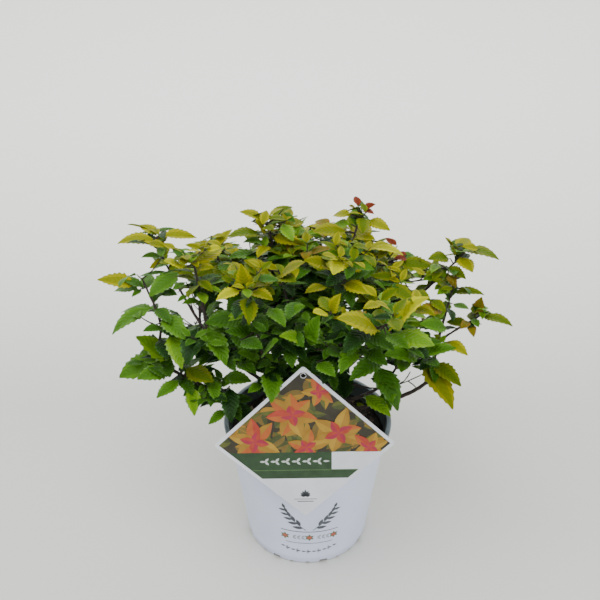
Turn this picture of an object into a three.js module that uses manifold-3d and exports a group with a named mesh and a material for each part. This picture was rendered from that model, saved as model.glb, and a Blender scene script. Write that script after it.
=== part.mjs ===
// A young spirea shrub in a round nursery pot with a picture label hooked over the rim.
// Millimetres, +Z up. The origin is the centre of the pot's flat underside, -Y is the label's side.
import * as THREE from 'three';
import { mergeVertices } from 'three/addons/utils/BufferGeometryUtils.js';
import Module from 'manifold-3d';

const wasm = await Module();
wasm.setup();

// ---- driving dimensions ----
const clearance = 0.3;          // air between pieces that touch
const leafyClearance = 0.5;     // and between foliage masses, whose faces slant
const potHeight = 158;
const potRimRadius = 95;
const potBaseRadius = 70;
const potWall = 1.8;
const potFloor = 2.2;
const lipWidth = 5.5;           // the rim's flat ring, measured outwards from the inner wall
const lipDrop = 11;             // the rim's skirt
const potSides = 36;
const drainCount = 8;
const drainSize = [11, 7, 5];   // along the edge, in from the edge, up the wall
const drainTurn = Math.PI / 12; // the first drain's place round the edge

const soilLevel = 140;
const soilFlatRadius = 18;      // level patch that the stem stands on
const soilBump = 2.2;
const soilSides = 24;

const labelSide = 130;          // a square plate hung by its corner
const labelThickness = 0.8;
const labelCornerRadius = 3;
const labelCentre = new THREE.Vector3(-4, -98, 199);
const labelLean = THREE.MathUtils.degToRad(3.8);
const labelRoll = THREE.MathUtils.degToRad(1);
const labelHoleRadius = 2.6;
const labelHoleInset = 11;      // from the top corner to the hole's centre

const clipWidth = 16;
const clipThickness = 1.2;
const clipInnerDrop = 13;       // how far the hook reaches down inside the rim
const clipPlateUp = 14;         // the plate behind the label, above the label's centre
const clipPlateDown = 7;        // and below the rim's top

const stemFootRadius = 13;
const stemRadius = 7.5;
const stemHeight = 46;
const stemSides = 12;
const boughBaseRadius = 3.1;
const boughTipRadius = 1.1;
const boughSides = 5;
const boughSteps = 10;

const leafyLean = THREE.MathUtils.degToRad(20);   // outward lean of a leafy shoot
const shortTips = 0.7;          // hollow between two leaf tips, as a share of the tips' reach

// Foliage masses: azimuth in degrees from +X towards +Y, reach from the pot's axis, height above the
// ground, spread of the leaf tips, half height, number of leaf tips round the outline.
const foliage = {
  left_high: [163, 172, 350, 50, 20, 5],
  left_bright: [190, 116, 365, 35, 20, 5],
  left_tip: [177, 172, 327, 52, 19, 5],
  left_mid: [191, 163, 302, 44, 20, 5],
  left_low: [187, 166, 249, 44, 23, 5],
  left_inner: [206, 114, 291, 36, 28, 6],
  left_foot: [206, 120, 230, 42, 20, 6],
  upper_left: [158, 107, 345, 36, 24, 6],
  top_left: [130, 65, 371, 48, 27, 6],
  top_right: [43, 73, 378, 43, 29, 6],
  top_mid: [93, 20, 356, 34, 20, 5],
  top_side: [25, 93, 346, 38, 18, 5],
  front_gold: [332, 46, 362, 40, 20, 6],
  centre_left: [231, 91, 363, 34, 28, 5],
  centre_top: [233, 48, 364, 32, 20, 5],
  centre_small: [283, 103, 363, 24, 14, 4],
  front_right: [304, 132, 350, 50, 22, 6],
  right_gold: [0, 97, 345, 36, 15, 5],
  centre_green: [257, 84, 326, 44, 24, 6],
  low_left: [236, 84, 274, 38, 20, 5],
  low_mid: [289, 95, 306, 42, 20, 6],
  low_right: [333, 111, 281, 46, 18, 6],
  right_high: [7, 163, 355, 42, 21, 5],
  right_inner: [17, 141, 325, 26, 14, 5],
  right_mid: [0, 149, 319, 33, 17, 5],
  right_tip: [357, 180, 298, 34, 19, 5],
  right_bronze: [347, 129, 308, 30, 18, 5],
  right_low: [348, 143, 274, 28, 15, 5],
  right_foot: [343, 139, 238, 28, 23, 4],
  rim_right: [323, 101, 246, 20, 20, 4],
  back_high: [88, 112, 338, 46, 24, 6],
  back_far: [92, 172, 292, 44, 24, 6],
  back_left: [135, 150, 303, 44, 24, 6],
  back_right: [60, 152, 292, 46, 25, 6],
  back_low: [108, 128, 243, 44, 22, 6],
  side_low_left: [150, 150, 232, 36, 22, 5],
  side_low_right: [44, 146, 236, 40, 22, 5],
  heart: [20, 12, 296, 44, 28, 6],
};

// Boughs, by the mass that each one ends in: how low it sweeps before it climbs (0 to 1), the masses
// that it runs through, and for a side bough its parent and the place of the fork along the parent.
const boughs = {
  left_high: { sweep: 0.35, through: ['left_inner'] },
  left_tip: { sweep: 0.7, through: ['left_foot', 'left_low', 'left_mid'] },
  left_bright: { sweep: 0.3, through: [], parent: 'left_high', fork: 0.6 },
  upper_left: { sweep: 0.3, through: [] },
  top_left: { sweep: 0.2, through: [] },
  top_right: { sweep: 0.2, through: [] },
  front_gold: { sweep: 0.25, through: [] },
  centre_left: { sweep: 0.4, through: ['low_left'] },
  front_right: { sweep: 0.5, through: ['low_mid'] },
  right_high: { sweep: 0.35, through: [] },
  right_tip: { sweep: 0.7, through: ['right_foot', 'right_low'] },
  right_mid: { sweep: 0.3, through: [], parent: 'right_tip', fork: 0.72 },
  back_left: { sweep: 0.6, through: ['side_low_left'] },
  back_far: { sweep: 0.6, through: ['back_low'] },
  back_high: { sweep: 0.3, through: [], parent: 'back_far', fork: 0.4 },
  back_right: { sweep: 0.6, through: ['side_low_right'] },
  low_right: { sweep: 0.6, through: ['rim_right'] },
};
const throughInset = 0.2;       // how far towards the pot's axis a bough runs past a mass's centre

// ---- helpers ----
const up = new THREE.Vector3(0, 0, 1);

function wave(seed) {
  return Math.sin(seed * 12.9898) * Math.cos(seed * 4.1414 + 1.3);
}

function outward(azimuthDegrees) {
  const a = THREE.MathUtils.degToRad(azimuthDegrees);
  return new THREE.Vector3(Math.cos(a), Math.sin(a), 0);
}

function toSolid(geometry) {
  const bare = geometry.clone();
  bare.deleteAttribute('normal');
  bare.deleteAttribute('uv');
  const merged = mergeVertices(bare, 1e-4);
  const vertProperties = new Float32Array(merged.attributes.position.array);
  const triVerts = new Uint32Array(merged.index.array);
  return new wasm.Manifold(new wasm.Mesh({ numProp: 3, vertProperties, triVerts }));
}

function toGeometry(solid) {
  const { vertProperties, triVerts } = solid.getMesh();
  const geometry = new THREE.BufferGeometry();
  geometry.setAttribute('position', new THREE.BufferAttribute(new Float32Array(vertProperties), 3));
  geometry.setIndex(new THREE.BufferAttribute(new Uint32Array(triVerts), 1));
  const flat = geometry.toNonIndexed();
  flat.computeVertexNormals();
  return flat;
}

function largestPart(solid) {
  const parts = solid.decompose();
  return parts.reduce((best, part) => (part.volume() > best.volume() ? part : best));
}

// A grid of rings from a lower pole to an upper pole, closed all round.
function ringSolid(bottom, rings, top) {
  const around = rings[0].length;
  const points = [bottom, ...rings.flat(), top];
  const faces = [];
  for (let i = 0; i < around; i += 1) {
    const next = (i + 1) % around;
    faces.push(0, 1 + next, 1 + i);
    for (let r = 0; r < rings.length - 1; r += 1) {
      const low = 1 + r * around;
      const high = low + around;
      faces.push(low + i, low + next, high + next);
      faces.push(low + i, high + next, high + i);
    }
    const last = 1 + (rings.length - 1) * around;
    faces.push(last + i, last + next, points.length - 1);
  }
  const geometry = new THREE.BufferGeometry().setFromPoints(points);
  geometry.setIndex(faces);
  return geometry;
}

function lathe(profile, sides) {
  return new THREE.LatheGeometry(profile.map(([r, z]) => new THREE.Vector2(r, z)), sides)
    .rotateX(Math.PI / 2);
}

// ---- pot ----
function outerRadiusAt(z) {
  return potBaseRadius + (potRimRadius - lipWidth + potWall - potBaseRadius) * (z / potHeight);
}

function innerRadiusAt(z) {
  return outerRadiusAt(z) - potWall;
}

function makePot() {
  const skirtFoot = potHeight - lipDrop;
  const body = toSolid(lathe([
    [0, 0],
    [outerRadiusAt(0) - 2, 0],
    [outerRadiusAt(0), 2],
    [outerRadiusAt(skirtFoot), skirtFoot],
    [potRimRadius - 1.5, skirtFoot],
    [potRimRadius, potHeight - 1],
    [potRimRadius - 1, potHeight],
    [innerRadiusAt(potHeight), potHeight],
    [innerRadiusAt(potFloor), potFloor],
    [0, potFloor],
  ], potSides));
  const drains = [];
  for (let i = 0; i < drainCount; i += 1) {
    const angle = (i / drainCount) * 2 * Math.PI + drainTurn;
    const cutter = new THREE.BoxGeometry(drainSize[1] * 2, drainSize[0], drainSize[2] * 2)
      .translate(potBaseRadius, 0, 0)
      .rotateZ(angle);
    drains.push(toSolid(cutter));
  }
  return toGeometry(drains.reduce((pot, drain) => pot.subtract(drain), body));
}

function makeSoil() {
  const foot = potFloor + clearance;
  const rims = [
    [innerRadiusAt(foot) - clearance - 8, foot, 0],
    [innerRadiusAt(foot + 10) - clearance - 1, foot + 10, 0],
    [innerRadiusAt(soilLevel - 3) - clearance - 1, soilLevel - 3, 0],
    [innerRadiusAt(soilLevel) - 7, soilLevel, 1],
    [innerRadiusAt(soilLevel) * 0.66, soilLevel, 1],
    [innerRadiusAt(soilLevel) * 0.4, soilLevel, 1],
    [soilFlatRadius, soilLevel, 0],
  ];
  const rings = rims.map(([radius, z, rough], r) => {
    const ring = [];
    for (let i = 0; i < soilSides; i += 1) {
      const a = (i / soilSides) * 2 * Math.PI;
      const lift = rough * soilBump * wave(i * 1.7 + r * 5.1);
      ring.push(new THREE.Vector3(radius * Math.cos(a), radius * Math.sin(a), z + lift));
    }
    return ring;
  });
  return ringSolid(new THREE.Vector3(0, 0, foot), rings, new THREE.Vector3(0, 0, soilLevel));
}

// ---- label and its hook ----
function makeLabel() {
  const half = labelSide / 2;
  const c = labelCornerRadius;
  const outline = new THREE.Shape();
  outline.moveTo(-half + c, -half);
  outline.lineTo(half - c, -half);
  outline.absarc(half - c, -half + c, c, -Math.PI / 2, 0);
  outline.lineTo(half, half - c);
  outline.absarc(half - c, half - c, c, 0, Math.PI / 2);
  outline.lineTo(-half + c, half);
  outline.absarc(-half + c, half - c, c, Math.PI / 2, Math.PI);
  outline.lineTo(-half, -half + c);
  outline.absarc(-half + c, -half + c, c, Math.PI, 1.5 * Math.PI);
  const inset = half - labelHoleInset / Math.SQRT2;
  outline.holes.push(new THREE.Path().absarc(inset, inset, labelHoleRadius, 0, 2 * Math.PI, true));
  return new THREE.ExtrudeGeometry(outline, {
    depth: labelThickness, bevelEnabled: false, curveSegments: 4,
  })
    .translate(0, 0, -labelThickness)
    .rotateZ(Math.PI / 4 + labelRoll)
    .rotateX(Math.PI / 2);
}

function labelBackAt(z) {
  const back = labelThickness / Math.cos(labelLean) + clearance;
  return labelCentre.y + (z - labelCentre.z) * Math.tan(labelLean) + back;
}

// A hook that stands on the rim's ring, reaches down inside it, and carries the label in front.
function makeClip() {
  const underBridge = potHeight + clearance;
  const overBridge = underBridge + clipThickness;
  const legFoot = underBridge - clipInnerDrop;
  const wall = innerRadiusAt(legFoot) * Math.cos(Math.PI / potSides);
  const leg = clearance - Math.sqrt(wall ** 2 - (clipWidth / 2 - labelCentre.x) ** 2);
  const plateTop = labelCentre.z + clipPlateUp;
  const plateFoot = underBridge - clipPlateDown;
  const side = new THREE.Shape([
    [labelBackAt(plateFoot), plateFoot],
    [labelBackAt(plateFoot) + clipThickness, plateFoot],
    [labelBackAt(underBridge) + clipThickness, underBridge],
    [leg, underBridge],
    [leg, legFoot],
    [leg + clipThickness, legFoot],
    [leg + clipThickness, overBridge],
    [labelBackAt(overBridge) + clipThickness, overBridge],
    [labelBackAt(plateTop) + clipThickness, plateTop],
    [labelBackAt(plateTop), plateTop],
  ].map(([y, z]) => new THREE.Vector2(y, z)));
  return new THREE.ExtrudeGeometry(side, { depth: clipWidth, bevelEnabled: false })
    .translate(0, 0, -clipWidth / 2)
    .rotateX(Math.PI / 2)
    .rotateZ(Math.PI / 2)
    .translate(labelCentre.x, 0, 0);
}

// ---- stem and boughs ----
function makeStem(grow) {
  const foot = soilLevel + clearance - grow;
  const profile = [
    [0, stemFootRadius],
    [0.12, stemFootRadius * 0.72],
    [0.35, stemRadius],
    [0.85, stemRadius * 0.92],
    [1, stemRadius * 0.55],
  ];
  const rings = profile.map(([part, radius]) => {
    const ring = [];
    for (let i = 0; i < stemSides; i += 1) {
      const a = (i / stemSides) * 2 * Math.PI;
      const flare = 1 + 0.16 * Math.cos(4 * a + 0.6) * (1 - part);
      const r = radius * flare + grow;
      const z = foot + part * (stemHeight + 2 * grow);
      ring.push(new THREE.Vector3(r * Math.cos(a), r * Math.sin(a), z));
    }
    return ring;
  });
  const top = new THREE.Vector3(0, 0, foot + stemHeight + 2 * grow + 1);
  return ringSolid(new THREE.Vector3(0, 0, foot), rings, top);
}

function massCentre(name) {
  const [azimuth, reach, height] = foliage[name];
  return outward(azimuth).multiplyScalar(reach).setZ(height);
}

const boughNames = Object.keys(boughs);

function boughPath(name) {
  const { sweep, through, parent, fork } = boughs[name];
  const order = boughNames.indexOf(name);
  const start = parent
    ? boughPath(parent).getPointAt(fork)
    : new THREE.Vector3(0, 0, soilLevel + 10 + (stemHeight - 16) * (order / boughNames.length));
  const stops = [...through, name].map((mass) => {
    const inset = mass === name ? 0 : throughInset;
    const [azimuth, , , spread] = foliage[mass];
    return massCentre(mass).addScaledVector(outward(azimuth), -spread * inset);
  });
  const aim = stops[0].clone().sub(start);
  const rise = aim.z;
  const shoulder = start.clone()
    .addScaledVector(aim.setZ(0), 0.1 + 0.5 * sweep)
    .addScaledVector(up, rise * (0.42 - 0.28 * sweep));
  return new THREE.CatmullRomCurve3([start, shoulder, ...stops], false, 'centripetal');
}

function makeBough(name, grow) {
  const path = boughPath(name);
  const thick = boughs[name].parent ? boughBaseRadius * 0.72 : boughBaseRadius;
  const frames = path.computeFrenetFrames(boughSteps);
  const pointAt = (t) => {
    const past = { 0: -grow, 1: grow }[t] ?? 0;
    return path.getPointAt(t).addScaledVector(path.getTangentAt(t), past);
  };
  const rings = [];
  for (let s = 0; s <= boughSteps; s += 1) {
    const t = s / boughSteps;
    const centre = pointAt(t);
    const radius = THREE.MathUtils.lerp(thick, boughTipRadius, t) + grow;
    const ring = [];
    for (let i = 0; i < boughSides; i += 1) {
      const a = (i / boughSides) * 2 * Math.PI;
      ring.push(centre.clone()
        .addScaledVector(frames.normals[s], radius * Math.cos(a))
        .addScaledVector(frames.binormals[s], radius * Math.sin(a)));
    }
    rings.push(ring);
  }
  return ringSolid(pointAt(0), rings, pointAt(1));
}

// ---- foliage ----
// rings of a mass from its foot up: share of the spread, share of the half height
const tiers = [
  [0.34, -0.8],
  [0.94, -0.14],
  [0.86, 0.34],
  [0.42, 0.8],
];

function makeMass(name, grow) {
  const [azimuth, , , spread, half, tips] = foliage[name];
  const seed = Object.keys(foliage).indexOf(name) + 1;
  const around = tips * 2;
  const turn = wave(seed) * Math.PI;
  const rings = tiers.map(([wide, level], tier) => {
    const ring = [];
    for (let i = 0; i < around; i += 1) {
      const a = (i / around) * 2 * Math.PI + turn + 0.12 * level;
      const tipped = i % 2 ? 1 : THREE.MathUtils.lerp(1, shortTips, wide);
      const uneven = 1 + 0.1 * wave(seed * 3.7 + i * 1.9 + tier * 0.8);
      const r = spread * wide * tipped * uneven + grow;
      const droop = (i % 2) * 0.25 * half * wide * wide;
      const z = level * half - droop + 0.12 * half * wave(seed * 2.3 + i) + Math.sign(level) * grow;
      ring.push(new THREE.Vector3(r * Math.cos(a), r * Math.sin(a), z));
    }
    return ring;
  });
  const bottom = new THREE.Vector3(0, 0, -half * 1.15 - grow);
  const top = new THREE.Vector3(0, 0, half + grow);
  const geometry = ringSolid(bottom, rings, top);
  const tilt = outward(azimuth + 90);
  geometry.applyQuaternion(new THREE.Quaternion().setFromAxisAngle(tilt, leafyLean));
  const centre = massCentre(name);
  return geometry.translate(centre.x, centre.y, centre.z);
}

// ---- the parts ----
const colours = {
  pot: 0xe9ebef,
  soil: 0x2a201b,
  label: 0xdcdde2,
  clip: 0xcfd2d6,
  stem: 0x3a2a22,
  gold: 0xc3b32c,
  lime: 0x86a822,
  green: 0x4a7a1e,
};

function leafColour(height) {
  if (height > 340) return colours.gold;
  if (height > 290) return colours.lime;
  return colours.green;
}

const shrub = new THREE.Group();

function add(name, geometry, color, roughness) {
  const material = new THREE.MeshStandardMaterial({ color, roughness, metalness: 0 });
  const mesh = new THREE.Mesh(geometry, material);
  mesh.name = name;
  shrub.add(mesh);
  return mesh;
}

add('pot', makePot(), colours.pot, 0.45);
add('potting_soil', makeSoil(), colours.soil, 0.95);
const label = add('picture_label', makeLabel(), colours.label, 0.35);
label.position.copy(labelCentre);
label.rotation.x = -labelLean;
add('label_clip', makeClip(), colours.clip, 0.4);
add('stem_base', makeStem(0), colours.stem, 0.85);

const cutters = [toSolid(makeStem(clearance))];
for (const name of boughNames) {
  const bough = cutters.reduce((rest, cutter) => rest.subtract(cutter), toSolid(makeBough(name, 0)));
  add(`bough_${name}`, toGeometry(largestPart(bough)), colours.stem, 0.85);
  cutters.push(toSolid(makeBough(name, clearance)));
}
for (const name of Object.keys(foliage)) {
  const mass = cutters.reduce((rest, cutter) => rest.subtract(cutter), toSolid(makeMass(name, 0)));
  add(`foliage_${name}`, toGeometry(largestPart(mass)), leafColour(foliage[name][2]), 0.7);
  cutters.push(toSolid(makeMass(name, leafyClearance)));
}

export default shrub;
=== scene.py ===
import math
import random

import bpy
from mathutils import Matrix, Vector, noise


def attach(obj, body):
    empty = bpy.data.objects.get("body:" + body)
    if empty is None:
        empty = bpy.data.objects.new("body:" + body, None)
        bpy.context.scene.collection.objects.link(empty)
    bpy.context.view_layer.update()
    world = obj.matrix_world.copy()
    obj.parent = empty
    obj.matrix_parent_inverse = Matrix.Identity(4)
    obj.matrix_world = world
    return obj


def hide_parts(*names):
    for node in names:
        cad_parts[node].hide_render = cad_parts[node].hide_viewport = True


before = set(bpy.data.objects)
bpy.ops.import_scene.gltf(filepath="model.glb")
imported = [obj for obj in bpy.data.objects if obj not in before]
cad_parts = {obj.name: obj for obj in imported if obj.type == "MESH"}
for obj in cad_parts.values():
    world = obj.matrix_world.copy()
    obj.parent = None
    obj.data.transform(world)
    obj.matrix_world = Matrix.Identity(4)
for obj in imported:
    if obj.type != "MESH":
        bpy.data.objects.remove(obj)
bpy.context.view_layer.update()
mm = 0.001
up = Vector((0, 0, 1))
print("frame loaded:", len(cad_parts), "nodes")


def linear(colour):
    # display values 0-255 to scene values
    shares = [c / 255 for c in colour]
    return [s / 12.92 if s < 0.04045 else ((s + 0.055) / 1.055) ** 2.4 for s in shares] + [1]


def bearing(degrees, lift=0.0):
    a = math.radians(degrees)
    e = math.radians(lift)
    return Vector((math.cos(a) * math.cos(e), math.sin(a) * math.cos(e), math.sin(e)))


def lerp(a, b, t):
    return a + (b - a) * t


def ramp(stops, t):
    # straight lines between (place, value) pairs
    for (t0, v0), (t1, v1) in zip(stops, stops[1:]):
        if t <= t1:
            return lerp(v0, v1, (t - t0) / (t1 - t0))
    return stops[-1][1]


def makeMesh(name, points, faces):
    mesh = bpy.data.meshes.new(name)
    mesh.from_pydata([Vector(p) * mm for p in points], [], faces)
    mesh.update()
    return mesh


def makePiece(name, mesh):
    piece = bpy.data.objects.new(name, mesh)
    bpy.context.scene.collection.objects.link(piece)
    return piece


def smooth(mesh, sharpAngle=35):
    mesh.shade_smooth()
    mesh.set_sharp_from_angle(angle=math.radians(sharpAngle))


def setValues(mesh, name, kind, domain, key, values):
    layer = mesh.attributes.new(name, kind, domain)
    layer.data.foreach_set(key, values)


def addNode(tree, kind, feeds=None, **settings):
    node = tree.nodes.new(kind)
    for key, value in settings.items():
        setattr(node, key, value)
    for key, value in (feeds or {}).items():
        if isinstance(value, bpy.types.NodeSocket):
            tree.links.new(value, node.inputs[key])
        else:
            node.inputs[key].default_value = value
    return node


def startTree(name, inputs):
    tree = bpy.data.node_groups.new(name, "GeometryNodeTree")
    tree.interface.new_socket("Geometry", in_out="INPUT", socket_type="NodeSocketGeometry")
    sockets = {}
    for label, kind in inputs.items():
        socket = tree.interface.new_socket(label, in_out="INPUT", socket_type="NodeSocket" + kind)
        sockets[label] = socket.identifier
    tree.interface.new_socket("Geometry", in_out="OUTPUT", socket_type="NodeSocketGeometry")
    return tree, sockets, addNode(tree, "NodeGroupInput").outputs


def mathNode(tree, operation, *values):
    return addNode(tree, "ShaderNodeMath", dict(enumerate(values)), operation=operation).outputs[0]


def placeShapes(tree, points, shapes, turn, size, feeds=None):
    # shapes of a collection on the points, picked at random unless told
    chosen = addNode(tree, "GeometryNodeCollectionInfo", {
        "Collection": shapes, "Separate Children": True, "Reset Children": True}).outputs[0]
    return addNode(tree, "GeometryNodeInstanceOnPoints", {
        "Points": points, "Instance": chosen, "Pick Instance": True, "Rotation": turn,
        "Scale": size, **(feeds or {})}).outputs[0]


def endTree(tree, geometry, coats):
    # realized geometry, painted: coats are (code, material), and the code None covers all faces
    made = addNode(tree, "GeometryNodeRealizeInstances", {"Geometry": geometry}).outputs[0]
    for code, material in coats:
        feeds = {"Geometry": made, "Material": material}
        if code is not None:
            feeds["Selection"] = coatIs(tree, code)
        made = addNode(tree, "GeometryNodeSetMaterial", feeds).outputs[0]
    addNode(tree, "NodeGroupOutput", {"Geometry": made})


def readAttribute(tree, name, kind):
    return addNode(tree, "GeometryNodeInputNamedAttribute", {"Name": name}, data_type=kind).outputs[0]


zonesPerTone = 10.0


def coatIs(tree, code):
    # tone comes with the instance, zone with its faces
    tone = readAttribute(tree, "tone", "INT")
    zone = readAttribute(tree, "zone", "INT")
    total = mathNode(tree, "MULTIPLY_ADD", tone, zonesPerTone, zone)
    same = addNode(tree, "FunctionNodeCompare", {0: total, 1: float(code), "Epsilon": 0.1},
                   data_type="FLOAT", operation="EQUAL")
    return same.outputs[0]


def evaluatedMesh(piece):
    bpy.context.view_layer.update()
    graph = bpy.context.evaluated_depsgraph_get()
    return bpy.data.meshes.new_from_object(
        piece.evaluated_get(graph), preserve_all_data_layers=True, depsgraph=graph)


def buildWith(name, source, tree, sockets, values):
    holder = makePiece(name + "Source", source)
    modifier = holder.modifiers.new("Build", "NODES")
    modifier.node_group = tree
    for label, value in values.items():
        modifier[sockets[label]] = value
    mesh = evaluatedMesh(holder)
    mesh.name = name
    holder.modifiers.remove(modifier)
    bpy.data.objects.remove(holder)
    tidyMesh(mesh)
    return makePiece(name, mesh)


def tidyMesh(mesh):
    # only the finishes in use stay, and none of the building values
    slots = [0] * len(mesh.polygons)
    mesh.polygons.foreach_get("material_index", slots)
    used = sorted(set(slots))
    finishes = [mesh.materials[i] for i in used]
    mesh.materials.clear()
    for finish in finishes:
        mesh.materials.append(finish)
    mesh.polygons.foreach_set("material_index", [used.index(i) for i in slots])
    for name in ("turn", "size", "variant", "tone", "zone", "thickness"):
        if name in mesh.attributes:
            mesh.attributes.remove(mesh.attributes[name])


bumpDepth = 0.0006   # m


def makeSurface(name, colour, rough, grain=400, relief=0.1, reliefScale=800, second=None,
                patches=40, share=(0.35, 0.65), specular=0.5, veins=None):
    # colour with an optional second one in soft patches, uneven gloss, fine relief; veins are
    # (how many, how far each runs on, how deep) over a shape that carries "along" and "out"
    material = bpy.data.materials.new(name)
    material.use_nodes = True
    tree = material.node_tree
    shader = tree.nodes["Principled BSDF"]
    shader.inputs["Base Color"].default_value = linear(colour)
    shader.inputs["Specular IOR Level"].default_value = specular
    place = addNode(tree, "ShaderNodeTexCoord").outputs["Object"]
    if second:
        cloud = addNode(tree, "ShaderNodeTexNoise", {"Vector": place, "Scale": patches, "Detail": 4.0})
        steps = addNode(tree, "ShaderNodeValToRGB", {"Fac": cloud.outputs[0]})
        for stop, position, tint in zip(steps.color_ramp.elements, share, (colour, second)):
            stop.position = position
            stop.color = linear(tint)
        tree.links.new(steps.outputs[0], shader.inputs["Base Color"])
    gloss = addNode(tree, "ShaderNodeTexNoise", {"Vector": place, "Scale": grain, "Detail": 2.0})
    span = addNode(tree, "ShaderNodeMapRange",
                   {"Value": gloss.outputs[0], "To Min": rough[0], "To Max": rough[1]})
    tree.links.new(span.outputs[0], shader.inputs["Roughness"])
    fine = addNode(tree, "ShaderNodeTexNoise", {"Vector": place, "Scale": reliefScale, "Detail": 3.0})
    height = fine.outputs[0]
    if veins:
        count, slant, depth = veins
        along, out = [addNode(tree, "ShaderNodeAttribute", attribute_name=name).outputs["Fac"]
                      for name in ("along", "out")]
        phase = mathNode(tree, "SUBTRACT", mathNode(tree, "MULTIPLY", along, float(count)),
                         mathNode(tree, "MULTIPLY", out, slant))
        wave = mathNode(tree, "SINE", mathNode(tree, "MULTIPLY", phase, math.pi))
        height = mathNode(tree, "MULTIPLY_ADD", mathNode(tree, "ABSOLUTE", wave), depth, height)
    bump = addNode(tree, "ShaderNodeBump", {
        "Strength": relief, "Distance": bumpDepth, "Height": height})
    tree.links.new(bump.outputs[0], shader.inputs["Normal"])
    return material


studio = {
    "cameraPlace": (-8.6, -770.9, 754.7),   # mm
    "cameraPitch": 29.91,                   # degrees down
    "lens": 51.0,                           # mm on a 36 mm sensor
    "floorHalf": 6000,
    "backdropTop": 2600,
    "backdropY": 1200,
    "backdropBend": 400,
    "bendSteps": 24,
    "floor": (206, 207, 200),
    "ambient": 1.12,
    "ambientColour": (0.97, 0.985, 1.0, 1),
    # place, target and size in metres, power in watts, colour
    "lights": {
        "keyLight": ((-0.35, -0.5, 1.9), (0, 0, 0.2), (1.6, 1.2), 31.0, (1, 1, 1)),
        "fillLight": ((1.3, -1.5, 1.1), (0, 0, 0.2), (1.2, 1.2), 15.0, (1, 1, 1)),
        "backdropLight": ((0, 0.55, 1.05), (0, 1.2, 0.85), (3.0, 0.5), 40.0, (0.93, 0.96, 1.0)),
    },
}


def makeCamera():
    camera = bpy.data.objects.new("camera", bpy.data.cameras.new("camera"))
    camera.location = Vector(studio["cameraPlace"]) * mm
    camera.rotation_euler = (math.radians(90 - studio["cameraPitch"]), 0, 0)
    camera.data.sensor_width = 36
    camera.data.lens = studio["lens"]
    camera.data.clip_start = 0.01
    camera.data.clip_end = 20
    bpy.context.scene.collection.objects.link(camera)
    bpy.context.scene.camera = camera


def makeStage():
    # floor that turns up into a backdrop in one sheet
    half = studio["floorHalf"]
    bend = studio["backdropBend"]
    steps = studio["bendSteps"]
    line = [(-half, 0), (studio["backdropY"] - bend, 0)]
    for i in range(1, steps + 1):
        a = i / steps * math.pi / 2
        line.append((studio["backdropY"] - bend + bend * math.sin(a), bend - bend * math.cos(a)))
    line.append((studio["backdropY"], studio["backdropTop"]))
    points = [(x, y, z) for y, z in line for x in (-half, half)]
    faces = [(2 * i, 2 * i + 1, 2 * i + 3, 2 * i + 2) for i in range(len(line) - 1)]
    floor = makePiece("floor", makeMesh("floor", points, faces))
    floor.data.shade_smooth()
    floor.data.materials.append(makeSurface("paleFloor", studio["floor"], (0.55, 0.7), relief=0.03))


def makeLights():
    for name, (place, target, size, power, colour) in studio["lights"].items():
        data = bpy.data.lights.new(name, "AREA")
        data.shape = "RECTANGLE"
        data.size, data.size_y = size
        data.energy = power
        data.color = colour
        light = bpy.data.objects.new(name, data)
        light.location = place
        light.rotation_euler = (Vector(target) - Vector(place)).to_track_quat("-Z", "Y").to_euler()
        bpy.context.scene.collection.objects.link(light)
    world = bpy.data.worlds.new("studio")
    world.use_nodes = True
    back = world.node_tree.nodes["Background"]
    back.inputs["Color"].default_value = studio["ambientColour"]
    back.inputs["Strength"].default_value = studio["ambient"]
    bpy.context.scene.world = world


makeCamera()
makeStage()
makeLights()
print("camera, floor and light are set")


pot = {
    "height": 158, "rimRadius": 95, "baseRadius": 70, "wall": 1.8, "floor": 2.2,
    "lipWidth": 5.5, "lipDrop": 11, "sides": 120,
    "drains": 24, "drainSize": (11, 7, 5), "smallDrain": (4.6, 6.5, 3.4), "drainTurn": 15,
    "white": (206, 211, 232), "whiteShade": (198, 204, 228),
    "slate": (70, 82, 88), "slatePale": (92, 106, 116), "inside": (44, 54, 56), "insidePale": (58, 66, 62),
    "printLift": 0.12, "inkMottle": 14, "printMiddle": 2, "sprigFoot": 60,
    "rules": [(57, 33, 0.55), (37, 27, 0.4)],   # level, half width, half thickness
    "rosettes": [-26, 2, 30], "chevrons": [-17, 11, -12, 16, -7, 21], "rowLevel": 47, "garlandLevel": 22,
    "inks": [(52, 56, 64), (140, 146, 157), (52, 88, 46), (176, 64, 52)],   # dark, pale, green, rust
    # length and width of the printed leaves
    "sprigLeaf": (12.5, 4.8), "rosetteLeaf": (5.6, 3.2), "heartLeaf": (3.4, 2.1),
    "chevronLeaf": (5.6, 2.6), "garlandLeaf": (5.4, 2.2), "garlandSideLeaf": (4.6, 2),
}


def potRadiusAt(z):
    mouth = pot["rimRadius"] - pot["lipWidth"] + pot["wall"]
    return lerp(pot["baseRadius"], mouth, z / pot["height"])


def lathe(profile, sides):
    # rings from a pole under to a pole inside
    points = [(0, 0, profile[0][1])]
    for r, z in profile[1:-1]:
        for i in range(sides):
            a = i / sides * math.tau
            points.append((r * math.cos(a), r * math.sin(a), z))
    points.append((0, 0, profile[-1][1]))
    rows = len(profile) - 2
    last = len(points) - 1
    faces = []
    for i in range(sides):
        j = (i + 1) % sides
        faces.append((0, 1 + j, 1 + i))
        for r in range(rows - 1):
            a = 1 + r * sides
            b = a + sides
            faces.append((a + i, a + j, b + j, b + i))
        a = 1 + (rows - 1) * sides
        faces.append((a + i, a + j, last))
    return points, faces


def cutWith(piece, cutters):
    # each cutter is taken out of the piece, then thrown away
    for cutter in cutters:
        modifier = piece.modifiers.new("Cut", "BOOLEAN")
        modifier.operation = "DIFFERENCE"
        modifier.solver = "EXACT"
        modifier.object = cutter
    mesh = evaluatedMesh(piece)
    piece.modifiers.clear()
    piece.data = mesh
    for cutter in cutters:
        bpy.data.objects.remove(cutter)


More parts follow.
